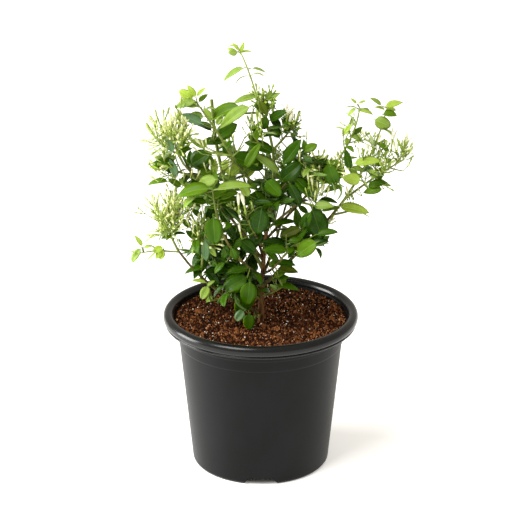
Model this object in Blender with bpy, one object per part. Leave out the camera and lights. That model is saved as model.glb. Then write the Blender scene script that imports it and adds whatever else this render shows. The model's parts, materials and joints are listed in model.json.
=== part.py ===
"""Potted juhi jasmine: an eight inch nursery pot filled with potting mix, and the shrub that grows in it.

The pot stands on its flat underside. The trunk is cut flat where it meets the potting mix, and its boughs
end in masses of leaves and buds. Each mass is one solid: a stem, the twigs that branch from it by one rule,
and the leaves and buds sunk into them. Sizes are in metres, +Z is up, and the origin is the middle of the
pot's underside. The view from -Y is the front.
"""

import math
import random
from dataclasses import dataclass

import bmesh
import bpy
import numpy as np
from mathutils import Vector
from mathutils.bvhtree import BVHTree

MM = 0.001
GAP = 0.3 * MM
UP = Vector((0, 0, 1))

# The pot, moulded in plastic with a rolled rim and a raised drain channel round its floor.
RIM_RADIUS = 101.6 * MM
POT_HEIGHT = 168 * MM
BASE_RADIUS = 71.3 * MM
WALL_SLOPE = 0.1016
WALL = 1.8 * MM
FLOOR = 2.2 * MM
STEP_OUT = 0.6 * MM
LOWER_STEP_HEIGHT = 134 * MM
UPPER_STEP_HEIGHT = 146 * MM
FLARE_HEIGHT = 151 * MM
LIP_HEIGHT = 156.4 * MM
ROLL_HALF_WIDTH = 5.4 * MM
ROLL_HALF_HEIGHT = 6 * MM
ROLL_SPAN = (-10, 190)
ROLL_STEPS = 4
COLLAR_RISE = 1.2 * MM
COLLAR_WIDTH = 5 * MM
FOOT_BEVEL = 3 * MM
CHANNEL_HEIGHT = 7 * MM
CHANNEL_INNER_RADIUS = 50 * MM
CHANNEL_OUTER_RADIUS = 62.5 * MM
CHANNEL_SLANT = 4 * MM
POT_SIDES = 28
NOTCHES = 3
NOTCH_WIDTH_LOW = 35 * MM
NOTCH_WIDTH_HIGH = 26 * MM
NOTCH_HEIGHT = 7.4 * MM
DRAIN_HOLES = 3
DRAIN_RADIUS = 4.5 * MM
DRAIN_SIDES = 8

# The potting mix, level round the trunk and a little lower towards the wall.
SOIL_TOP = 157 * MM
SOIL_EDGE_DROP = 1.6 * MM
SOIL_LEVEL_RADIUS = 26 * MM
SOIL_ROUGHNESS = 0.7 * MM

# The shrub.
TRUNK_SIDES = 8
BOUGH_SIDES = 5
TWIG_SIDES = 3
TRUNK_STEPS = 8
BOUGH_STEPS = 5
FLARE_SHARE = 0.1
FLARE_GAIN = 0.55
LEAF_WIDTH = 0.64
LEAF_THICKNESS = 0.036
LEAF_FOLD = 0.1
LEAF_SCALES = (1, 0.82, 0.66)
LEAF_SWINGS = (0, 28, -28, 56, -56)
BUD_RADIUS = 1.5 * MM
BUD_LENGTH = 13 * MM
BUD_WIDEST = 0.74
BUD_NODES = (0.84, 0.6)
BUD_LEANS = (36, 52)
FLOWER_LENGTH = 26 * MM
FLOWER_RADIUS = 2.6 * MM
SPACE_MARGIN = 0.5 * MM
LIMB_CLEARANCE = 0.5 * MM
POT_CLEARANCE = 2 * MM


@dataclass
class Limb:
    """A tapering limb that leaves its parent one way and turns evenly along its length.

    Angles are in degrees: azimuth 0 is +X and 90 is +Y, rise is above level, and curl and swing are how far
    rise and azimuth change from the start to the tip. Lengths and radii are in millimetres.
    """

    name: str
    parent: str
    at: float
    azimuth: float
    rise: float
    length: float
    curl: float = 0
    swing: float = 0
    root_radius: float = 1.9
    tip_radius: float = 1.3


@dataclass
class Mass(Limb):
    """A mass of foliage on its own stem: pairs of leaves at even nodes, and side twigs.

    spread is the angle, in degrees, at which leaves leave their twig. buds is how many of the twigs, from the
    tip down, end in buds, with bud_pairs pairs on each; a mass that has any has them at its own tip too.
    flowers is how many long white ones stand there.
    """

    pairs: int = 3
    leaf: float = 30
    turn: float = 90
    droop: float = 20
    twigs: int = 1
    twig_length: float = 24
    twig_leaf: float = 0.7
    buds: int = 0
    bud_pairs: int = 1
    flowers: int = 0
    spread: float = 60
    root_radius: float = 1.25
    tip_radius: float = 0.7


TRUNK = Limb("trunk", "", 0, 32, 90, 143, curl=-11, root_radius=3.2, tip_radius=2.1)
TRUNK_FOOT = Vector((0.3 * MM, -3 * MM, SOIL_TOP + GAP))

BOUGHS = (
    Limb("bough_leader", "trunk", 1.0, 190, 98, 92, curl=-34, root_radius=2.0, tip_radius=1.3),
    Limb("bough_upper_left", "trunk", 0.88, 199, 53, 104, curl=8, root_radius=1.8),
    Limb("bough_cut_stem", "trunk", 0.40, 165, 60, 184, curl=28, swing=12, root_radius=2.3, tip_radius=1.9),
    Limb("bough_left_middle", "trunk", 0.46, 212, 56, 146, curl=-6, swing=-8, root_radius=2.0),
    Limb("bough_low_left", "trunk", 0.05, 196, 28, 117, curl=30, root_radius=2.2, tip_radius=1.4),
    Limb("bough_front_left", "trunk", 0.34, 232, 34, 96, curl=26, root_radius=1.9),
    Limb("bough_centre_front", "trunk", 0.56, 250, 36, 40, curl=12, root_radius=1.7, tip_radius=1.2),
    Limb("bough_right_long", "trunk", 0.26, 18, 39, 122, curl=12, swing=-6, root_radius=2.3, tip_radius=1.6),
    Limb("bough_right_back", "trunk", 0.62, 28, 40, 96, curl=4, swing=-6, root_radius=1.9),
    Limb("bough_right_middle", "trunk", 0.70, -18, 44, 56, curl=0, root_radius=1.8),
    Limb("bough_shoulder", "trunk", 0.94, -32, 40, 34, curl=20, root_radius=1.6, tip_radius=1.2),
    Limb("bough_back_left", "trunk", 0.48, 112, 42, 78, curl=22, root_radius=2.0, tip_radius=1.3),
    Limb("bough_back_right", "trunk", 0.34, 62, 40, 72, curl=20, root_radius=2.0, tip_radius=1.3),
    Limb("bough_front_right", "trunk", 0.36, -56, 30, 46, curl=22, root_radius=1.7, tip_radius=1.2),
)

MASSES = (
    Mass("top_shoot", "bough_leader", 1.0, 196, 78, 70, curl=-14,
         pairs=4, leaf=20, turn=88, droop=26, twigs=0, root_radius=0.95, tip_radius=0.6),
    Mass("top_cluster", "bough_leader", 0.84, 0, 66, 28, curl=14,
         pairs=2, leaf=24, turn=60, droop=24, twigs=2, twig_length=16, buds=3),
    Mass("leader_left_leaves", "bough_leader", 0.92, 190, 2, 22, curl=-4,
         pairs=2, leaf=39, turn=10, droop=16, spread=32, twigs=0),
    Mass("crown_right", "bough_leader", 0.46, -4, 46, 34, curl=14,
         pairs=3, leaf=30, turn=84, droop=18, twigs=2, twig_length=18, buds=3),
    Mass("crown_left", "bough_leader", 0.46, 214, 26, 30, curl=30,
         pairs=3, leaf=30, turn=50, droop=20, twigs=2, twig_length=16, buds=2),
    Mass("shoulder_right", "bough_shoulder", 1.0, -12, 48, 32, curl=10,
         pairs=3, leaf=34, turn=78, droop=14, twigs=2, twig_length=20, buds=2),
    Mass("upper_left_tip", "bough_upper_left", 1.0, 198, 55, 32, curl=4,
         pairs=2, leaf=27, turn=74, droop=10, twigs=2, twig_length=14, buds=2),
    Mass("upper_left_inner", "bough_upper_left", 0.50, 250, 30, 34, curl=16,
         pairs=3, leaf=34, turn=60, droop=26, twigs=2, twig_length=20),
    Mass("cut_stem_leaves", "bough_cut_stem", 0.76, 250, 24, 18, curl=-10,
         pairs=2, leaf=33, turn=20, droop=22, twigs=0),
    Mass("upper_left_cyme", "bough_left_middle", 1.0, 206, 60, 30, curl=18,
         pairs=2, leaf=22, turn=40, droop=24, twigs=6, twig_length=27, buds=6, bud_pairs=2, twig_leaf=0),
    Mass("left_middle_leaves", "bough_left_middle", 0.88, 182, 10, 28, curl=24,
         pairs=2, leaf=27, turn=70, droop=26, twigs=2, twig_length=20, buds=1),
    Mass("left_dark_leaves", "bough_left_middle", 0.66, 150, 40, 26,
         pairs=3, leaf=33, turn=30, droop=28, twigs=1, twig_length=20),
    Mass("lower_left_cyme", "bough_low_left", 1.0, 208, 64, 36, curl=8,
         pairs=2, leaf=22, turn=40, droop=24, twigs=6, twig_length=28, buds=6, bud_pairs=2, twig_leaf=0),
    Mass("left_tendril", "bough_low_left", 0.97, 188, 12, 44, curl=-24,
         pairs=3, leaf=20, turn=72, droop=20, twigs=0, root_radius=0.9, tip_radius=0.55),
    Mass("lower_left_leaves", "bough_low_left", 0.66, 246, 56, 30,
         pairs=3, leaf=33, turn=64, droop=24, twigs=2, twig_length=20),
    Mass("low_left_inner", "bough_low_left", 0.42, 120, 66, 38,
         pairs=3, leaf=34, turn=64, droop=30, twigs=1, twig_length=20),
    Mass("soil_left_shoot", "bough_low_left", 0.34, 226, 0, 22, curl=10,
         pairs=2, leaf=20, turn=80, droop=20, twigs=0, root_radius=0.9, tip_radius=0.6),
    Mass("front_left_shoot", "bough_front_left", 1.0, 196, 74, 44, curl=10,
         pairs=4, leaf=35, turn=88, droop=10, twigs=1, twig_length=18, root_radius=1.1),
    Mass("centre_left", "bough_front_left", 0.58, 176, 30, 38, curl=20,
         pairs=4, leaf=34, turn=66, droop=36, twigs=2, twig_length=22),
    Mass("centre_front", "bough_centre_front", 1.0, 240, 54, 32, curl=10,
         pairs=3, leaf=32, turn=58, droop=36, twigs=2, twig_length=22, buds=1, flowers=3),
    Mass("left_inner", "trunk", 0.31, 184, 32, 42, curl=14,
         pairs=4, leaf=34, turn=66, droop=30, twigs=2, twig_length=22),
    Mass("low_front", "trunk", 0.27, 236, 16, 34, curl=16,
         pairs=3, leaf=36, turn=60, droop=44, twigs=1, twig_length=20),
    Mass("low_left_front", "trunk", 0.16, 206, 36, 34, curl=16,
         pairs=3, leaf=32, turn=60, droop=34, twigs=1, twig_length=20),
    Mass("foot_leaves", "trunk", 0.045, 250, 6, 18, curl=6,
         pairs=2, leaf=16, turn=60, droop=4, twigs=0, root_radius=0.8, tip_radius=0.5),
    Mass("right_outer", "bough_right_long", 1.0, 2, 40, 72, curl=-8, swing=-6,
         pairs=4, leaf=31, turn=74, droop=22, twigs=4, twig_length=24, buds=3, root_radius=1.2),
    Mass("right_outer_low", "bough_right_long", 0.82, -24, 18, 28, curl=10,
         pairs=2, leaf=35, turn=50, droop=20, twigs=1, twig_length=20),
    Mass("right_shoot_high", "bough_right_long", 0.94, 0, 57, 103, curl=20, swing=10,
         pairs=5, leaf=25, turn=84, droop=8, twigs=0, root_radius=1.05),
    Mass("right_shoot_inner", "bough_right_back", 1.0, 0, 50, 72, curl=32,
         pairs=4, leaf=22, turn=84, droop=12, twigs=2, twig_length=20, buds=2, root_radius=1.05),
    Mass("right_middle", "bough_right_middle", 1.0, -14, 54, 38, curl=8,
         pairs=4, leaf=35, turn=76, droop=24, twigs=3, twig_length=24, buds=3),
    Mass("right_hanging", "bough_right_middle", 0.80, -44, 4, 20,
         pairs=2, leaf=36, turn=40, droop=48, twigs=0),
    Mass("right_back_middle", "bough_right_back", 0.60, 70, 30, 34,
         pairs=3, leaf=33, turn=70, droop=26, twigs=2, twig_length=22),
    Mass("right_low", "trunk", 0.52, -18, 18, 40, curl=12,
         pairs=4, leaf=35, turn=70, droop=28, twigs=1, twig_length=22),
    Mass("right_base", "trunk", 0.19, -30, 24, 30, curl=16,
         pairs=3, leaf=27, turn=70, droop=10, twigs=1, twig_length=16),
    Mass("centre_high", "trunk", 0.82, -96, 34, 32, curl=14,
         pairs=4, leaf=33, turn=52, droop=36, twigs=2, twig_length=20),
    Mass("back_left", "bough_back_left", 1.0, 128, 58, 44, curl=10,
         pairs=3, leaf=33, turn=64, droop=22, twigs=2, twig_length=26, buds=2),
    Mass("back_left_low", "bough_back_left", 0.60, 168, 18, 42, curl=14,
         pairs=3, leaf=33, turn=68, droop=24, twigs=2, twig_length=24),
    Mass("back_right", "bough_back_right", 1.0, 54, 56, 46, curl=10,
         pairs=3, leaf=33, turn=64, droop=22, twigs=2, twig_length=26, buds=2),
    Mass("back_middle", "bough_back_right", 0.62, 100, 34, 42, curl=12,
         pairs=3, leaf=33, turn=68, droop=26, twigs=2, twig_length=24),
    Mass("back_high", "trunk", 0.80, 96, 44, 52, curl=22,
         pairs=3, leaf=32, turn=64, droop=20, twigs=2, twig_length=24, buds=2),
    Mass("front_right", "bough_front_right", 1.0, -52, 42, 38, curl=12,
         pairs=4, leaf=33, turn=64, droop=30, twigs=2, twig_length=22),
)


def plastic(name, colour, roughness):
    """A Principled material of one plain colour."""
    material = bpy.data.materials.new(name)
    material.use_nodes = True
    shader = material.node_tree.nodes["Principled BSDF"]
    shader.inputs["Base Color"].default_value = (*colour, 1)
    shader.inputs["Roughness"].default_value = roughness
    shader.inputs["Metallic"].default_value = 0
    material.diffuse_color = (*colour, 1)
    return material


def object_of(name, points, faces, collection=None):
    """An object with this mesh, its faces pointing out."""
    mesh = bpy.data.meshes.new(name)
    mesh.from_pydata([tuple(p) for p in points], [], faces)
    bm = bmesh.new()
    bm.from_mesh(mesh)
    bmesh.ops.recalc_face_normals(bm, faces=bm.faces)
    bm.to_mesh(mesh)
    bm.free()
    obj = bpy.data.objects.new(name, mesh)
    (collection or bpy.context.scene.collection).objects.link(obj)
    return obj


def boolean(obj, operation, collection):
    """Applies one Boolean with everything in the collection, then removes those objects."""
    modifier = obj.modifiers.new("join", "BOOLEAN")
    modifier.operation = operation
    modifier.operand_type = "COLLECTION"
    modifier.collection = collection
    graph = bpy.context.evaluated_depsgraph_get()
    joined = bpy.data.meshes.new_from_object(obj.evaluated_get(graph))
    obj.modifiers.clear()
    obj.data = joined
    for other in list(collection.objects):
        bpy.data.objects.remove(other)
    bpy.data.collections.remove(collection)


def new_collection(name):
    collection = bpy.data.collections.new(name)
    bpy.context.scene.collection.children.link(collection)
    return collection


def lathe(name, profile, sides):
    """Spins a profile of (radius, height) points, whose two ends are on the axis, into a closed solid."""
    bm = bmesh.new()
    line = [bm.verts.new((radius, 0, height)) for radius, height in profile]
    edges = [bm.edges.new(pair) for pair in zip(line, line[1:])]
    bmesh.ops.spin(
        bm, geom=line + edges, cent=(0, 0, 0), axis=(0, 0, 1), angle=2 * math.pi, steps=sides, use_merge=True
    )
    bmesh.ops.remove_doubles(bm, verts=bm.verts, dist=0.01 * MM)
    bmesh.ops.recalc_face_normals(bm, faces=bm.faces)
    mesh = bpy.data.meshes.new(name)
    bm.to_mesh(mesh)
    bm.free()
    obj = bpy.data.objects.new(name, mesh)
    bpy.context.scene.collection.objects.link(obj)
    return obj


def wall_radius(height):
    """Outer radius of the pot's straight tapered wall."""
    return BASE_RADIUS + WALL_SLOPE * height


def rim_roll():
    """The rolled rim's outer skin, from its hanging lip over the top to the inside: an ellipse's arc."""
    centre_radius, centre_height = RIM_RADIUS - ROLL_HALF_WIDTH, POT_HEIGHT - ROLL_HALF_HEIGHT
    points = [(RIM_RADIUS - ROLL_HALF_WIDTH / 2, LIP_HEIGHT)]
    for angle in np.radians(np.linspace(*ROLL_SPAN, ROLL_STEPS + 1)):
        radius = centre_radius + ROLL_HALF_WIDTH * math.cos(angle)
        points.append((radius, centre_height + ROLL_HALF_HEIGHT * math.sin(angle)))
    return points


def pot_outside():
    """The pot's outer profile, from the middle of the underside to the inner edge of the rim."""
    step, roof = STEP_OUT, POT_HEIGHT - ROLL_HALF_HEIGHT - 2 * MM
    return [
        (0, 0),
        (CHANNEL_INNER_RADIUS - CHANNEL_SLANT, 0),
        (CHANNEL_INNER_RADIUS, CHANNEL_HEIGHT),
        (CHANNEL_OUTER_RADIUS, CHANNEL_HEIGHT),
        (CHANNEL_OUTER_RADIUS + CHANNEL_SLANT, 0),
        (BASE_RADIUS - FOOT_BEVEL * 0.7, 0),
        (wall_radius(FOOT_BEVEL), FOOT_BEVEL),
        (wall_radius(LOWER_STEP_HEIGHT), LOWER_STEP_HEIGHT),
        (wall_radius(LOWER_STEP_HEIGHT) + step, LOWER_STEP_HEIGHT + COLLAR_RISE),
        (wall_radius(UPPER_STEP_HEIGHT) + step, UPPER_STEP_HEIGHT),
        (wall_radius(UPPER_STEP_HEIGHT) + 2 * step, UPPER_STEP_HEIGHT + COLLAR_RISE),
        (wall_radius(FLARE_HEIGHT) + 2 * step, FLARE_HEIGHT),
        (RIM_RADIUS - ROLL_HALF_WIDTH - COLLAR_WIDTH, roof),
        (RIM_RADIUS - ROLL_HALF_WIDTH + 1.2 * MM, roof),
        *rim_roll(),
    ]


def pot_inside():
    """The pot's inner profile, from the top of the inner wall down to the middle of the floor."""
    return [
        (wall_radius(FLARE_HEIGHT) + 2 * STEP_OUT - WALL, FLARE_HEIGHT),
        (wall_radius(LOWER_STEP_HEIGHT) - WALL, LOWER_STEP_HEIGHT),
        (wall_radius(CHANNEL_HEIGHT + FLOOR) - WALL, CHANNEL_HEIGHT + FLOOR),
        (CHANNEL_INNER_RADIUS + 1.2 * MM, CHANNEL_HEIGHT + FLOOR),
        (CHANNEL_INNER_RADIUS + 1.2 * MM - CHANNEL_SLANT, FLOOR),
        (0, FLOOR),
    ]


def notch_cutter(number, collection):
    """A wedge that cuts one drain notch through the foot, from the channel outwards."""
    inner, outer = CHANNEL_OUTER_RADIUS - 2 * MM, RIM_RADIUS
    low, high = -2 * MM, NOTCH_HEIGHT
    spread = (NOTCH_WIDTH_LOW - NOTCH_WIDTH_HIGH) / NOTCH_HEIGHT
    half_low, half_high = (NOTCH_WIDTH_LOW - spread * low) / 2, NOTCH_WIDTH_HIGH / 2
    points = [
        (radius, side * half, height)
        for radius in (inner, outer)
        for half, height in ((half_low, low), (half_high, high))
        for side in (-1, 1)
    ]
    faces = [(0, 1, 3, 2), (4, 5, 7, 6), (0, 1, 5, 4), (2, 3, 7, 6), (0, 2, 6, 4), (1, 3, 7, 5)]
    cutter = object_of(f"notch_cutter_{number}", points, faces, collection)
    cutter.rotation_euler.z = -math.pi / 2 + number * 2 * math.pi / NOTCHES
    return cutter


def drain_cutter(number, collection):
    """A cylinder that cuts one drain hole through the roof of the channel."""
    angle = -math.pi / 2 + (number + 0.5) * 2 * math.pi / DRAIN_HOLES
    radius = (CHANNEL_INNER_RADIUS + CHANNEL_OUTER_RADIUS) / 2 + 0.8 * MM
    bm = bmesh.new()
    bmesh.ops.create_cone(
        bm, cap_ends=True, segments=DRAIN_SIDES, radius1=DRAIN_RADIUS, radius2=DRAIN_RADIUS, depth=8 * MM
    )
    mesh = bpy.data.meshes.new("drain_cutter")
    bm.to_mesh(mesh)
    bm.free()
    cutter = bpy.data.objects.new(f"drain_cutter_{number}", mesh)
    cutter.location = (radius * math.cos(angle), radius * math.sin(angle), CHANNEL_HEIGHT + FLOOR / 2)
    collection.objects.link(cutter)


def make_pot(material):
    """The hollow pot, with its drain notches and holes."""
    pot = lathe("pot", pot_outside() + pot_inside(), POT_SIDES)
    cutters = new_collection("pot_cutters")
    for number in range(NOTCHES):
        notch_cutter(number, cutters)
    for number in range(DRAIN_HOLES):
        drain_cutter(number, cutters)
    bpy.context.view_layer.update()
    boolean(pot, "DIFFERENCE", cutters)
    pot.data.materials.clear()
    pot.data.materials.append(material)
    pot.data.set_sharp_from_angle(angle=math.radians(35))
    return pot


def make_soil(material):
    """The potting mix, which fills the pot to just under its rim, clear of the wall by the gap."""
    inside = pot_inside()
    edge_height = SOIL_TOP - SOIL_EDGE_DROP
    flare_radius, flare_height = inside[0]
    rim_inner = rim_roll()[-1]
    share = (edge_height - flare_height) / (rim_inner[1] - flare_height)
    edge_radius = flare_radius + share * (rim_inner[0] - flare_radius)
    side = GAP * 1.1
    profile = [(0, FLOOR + GAP)]
    profile += [(max(0, radius - side), height + GAP) for radius, height in reversed(inside[1:-1])]
    profile[1] = (inside[-2][0] - side, FLOOR + GAP)
    profile[2] = (inside[-3][0] - side, CHANNEL_HEIGHT + FLOOR + GAP)
    profile += [
        (flare_radius - side, flare_height),
        (edge_radius - side, edge_height),
        (0.62 * edge_radius, edge_height + 0.6 * SOIL_EDGE_DROP),
        (SOIL_LEVEL_RADIUS, SOIL_TOP),
        (0, SOIL_TOP),
    ]
    soil = lathe("potting_mix", profile, POT_SIDES)
    draw = random.Random(11)
    for vertex in soil.data.vertices:
        radius = math.hypot(vertex.co.x, vertex.co.y)
        if vertex.co.z > edge_height + 0.1 * MM and radius > SOIL_LEVEL_RADIUS + MM:
            vertex.co.z += draw.uniform(-SOIL_ROUGHNESS, SOIL_ROUGHNESS)
    soil.data.materials.append(material)
    return soil


def heading(azimuth, rise):
    """Unit vector at this azimuth and rise, in degrees."""
    a, r = math.radians(azimuth), math.radians(rise)
    return Vector((math.cos(r) * math.cos(a), math.cos(r) * math.sin(a), math.sin(r)))


def centre_line(start, azimuth, rise, length, curl, swing, steps):
    """Points along a limb, from its start, as its heading turns evenly by curl and swing."""
    points = [start.copy()]
    for step in range(steps):
        share = (step + 0.5) / steps
        points.append(points[-1] + heading(azimuth + swing * share, rise + curl * share) * (length / steps))
    return points


def across(direction):
    """Two unit vectors at right angles to a direction; the first is level."""
    level = UP.cross(direction)
    if level.length < 0.05:
        level = Vector((1, 0, 0)) - direction * direction.x
    level.normalize()
    return level, direction.cross(level).normalized()


def tube(points, radii, sides, cut_normal=None):
    """Points and faces of a tapering tube. Its first ring lies in the plane across cut_normal, if given."""
    verts, faces = [], []
    side, other = across((points[1] - points[0]).normalized())
    for number, (point, radius) in enumerate(zip(points, radii)):
        before, after = points[max(number - 1, 0)], points[min(number + 1, len(points) - 1)]
        along = (after - before).normalized()
        side = (side - along * side.dot(along)).normalized()
        other = along.cross(side)
        for corner in range(sides):
            angle = 2 * math.pi * corner / sides
            offset = (side * math.cos(angle) + other * math.sin(angle)) * radius
            if number == 0 and cut_normal is not None:
                offset = offset - along * (offset.dot(cut_normal) / along.dot(cut_normal))
            verts.append(point + offset)
    for ring in range(len(points) - 1):
        for corner in range(sides):
            following = (corner + 1) % sides
            low, high = ring * sides, (ring + 1) * sides
            faces.append((low + corner, low + following, high + following, high + corner))
    faces.append(tuple(range(sides)))
    faces.append(tuple(range(len(verts) - sides, len(verts))))
    return verts, faces


def share_point(points, share):
    """The point and heading at this share of a line's length, on evenly spaced points."""
    place = share * (len(points) - 1)
    number = min(int(place), len(points) - 2)
    first, second = points[number], points[number + 1]
    return first.lerp(second, place - number), (second - first).normalized()


@dataclass
class Grown:
    """A limb that has its place: its centre line and its radius at each point."""

    points: list
    radii: list
    cut_normal: Vector | None = None


def grow_limb(limb, grown, steps):
    """Places a limb so that its first ring clears its parent by the gap."""
    if limb.name == "trunk":
        start, cut_normal = TRUNK_FOOT, UP
    else:
        parent = grown[limb.parent]
        point, along = share_point(parent.points, limb.at)
        toward = heading(limb.azimuth, limb.rise)
        if limb.at >= 1:
            cut_normal = along
            start = point + toward * (GAP / toward.dot(along))
        else:
            radius = np.interp(limb.at, np.linspace(0, 1, len(parent.radii)), parent.radii)
            cut_normal = (toward - along * toward.dot(along)).normalized()
            start = point + toward * ((radius + GAP) / toward.dot(cut_normal))
    points = centre_line(start, limb.azimuth, limb.rise, limb.length * MM, limb.curl, limb.swing, steps)
    shares = [number / steps for number in range(steps + 1)]
    radii = [(limb.root_radius + (limb.tip_radius - limb.root_radius) * share) * MM for share in shares]
    if limb.name == "trunk":
        flare = [1 + FLARE_GAIN * max(0, 1 - share / FLARE_SHARE) ** 2 for share in shares]
        radii = [radius * gain for radius, gain in zip(radii, flare)]
    return Grown(points, radii, cut_normal)


def samples(points, spacing):
    """Points along a line, this far apart or closer."""
    found = []
    for first, second in zip(points, points[1:]):
        count = max(1, math.ceil((second - first).length / spacing))
        found += [first.lerp(second, number / count) for number in range(count)]
    return found + [points[-1]]


class Spaces:
    """Which space belongs to which mass, and where the limbs, the pot and the potting mix are."""

    def __init__(self, stems, limbs):
        self.names = list(stems)
        self.sites = [np.array(samples(stems[name].points, 3 * MM)) for name in self.names]
        self.limb_points = {}
        for name, limb in limbs.items():
            shares = np.linspace(0, 1, len(limb.points))
            places = np.linspace(0, 1, 8 * len(limb.points))
            line = np.array([share_point(limb.points, place)[0] for place in places])
            self.limb_points[name] = (line, np.interp(places, shares, limb.radii))

    def holds(self, name, points):
        """True if all the points are in this mass's space and clear of every limb, the pot and the mix."""
        points = np.array(points)
        offsets = [points[:, None] - site[None] for site in self.sites]
        distances = np.array([np.linalg.norm(offset, axis=2).min(1) for offset in offsets])
        own = distances[self.names.index(name)]
        others = np.delete(distances, self.names.index(name), axis=0).min(0)
        if (own + SPACE_MARGIN > others - SPACE_MARGIN).any():
            return False
        for line, radii in self.limb_points.values():
            clear = np.linalg.norm(points[:, None] - line[None], axis=2) - radii[None]
            if (clear < LIMB_CLEARANCE).any():
                return False
        radius = np.hypot(points[:, 0], points[:, 1])
        over_pot = radius < RIM_RADIUS + POT_CLEARANCE
        inside = radius < RIM_RADIUS - 16 * MM
        floor = np.where(inside, SOIL_TOP, np.where(over_pot, POT_HEIGHT, 0)) + POT_CLEARANCE
        return not (over_pot & (points[:, 2] < floor)).any()


def leaf_solid(root, toward, normal, length):
    """An ovate leaf of 12 faces on a pointed root, folded along its midrib and thickest in the middle."""
    side = normal.cross(toward).normalized()
    width = LEAF_WIDTH * length
    thickness, fold = LEAF_THICKNESS * length, LEAF_FOLD * width

    def place(along, out, up):
        return root + toward * (along * length) + side * (out * width) + normal * up

    points = [
        place(0, 0, 0),
        place(0.38, 0.50, fold),
        place(0.72, 0.36, fold * 0.6),
        place(1, 0, -0.06 * length),
        place(0.72, -0.36, fold * 0.6),
        place(0.38, -0.50, fold),
        place(0.48, 0, thickness / 2),
        place(0.48, 0, -thickness / 2),
    ]
    rim = range(6)
    faces = [(6, n, (n + 1) % 6) for n in rim] + [(7, (n + 1) % 6, n) for n in rim]
    return points, faces


def club(root, toward, length, radius):
    """A bud on its pedicel, of 6 faces: a point, a triangle at its widest, and a point."""
    side, other = across(toward)
    middle = root + toward * (length * BUD_WIDEST)
    ring = [side, other * 0.87 - side * 0.5, -other * 0.87 - side * 0.5]
    points = [root, *(middle + offset * radius for offset in ring), root + toward * length]
    faces = [(0, 1 + n, 1 + (n + 1) % 3) for n in range(3)] + [(4, 1 + (n + 1) % 3, 1 + n) for n in range(3)]
    return points, faces


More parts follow.
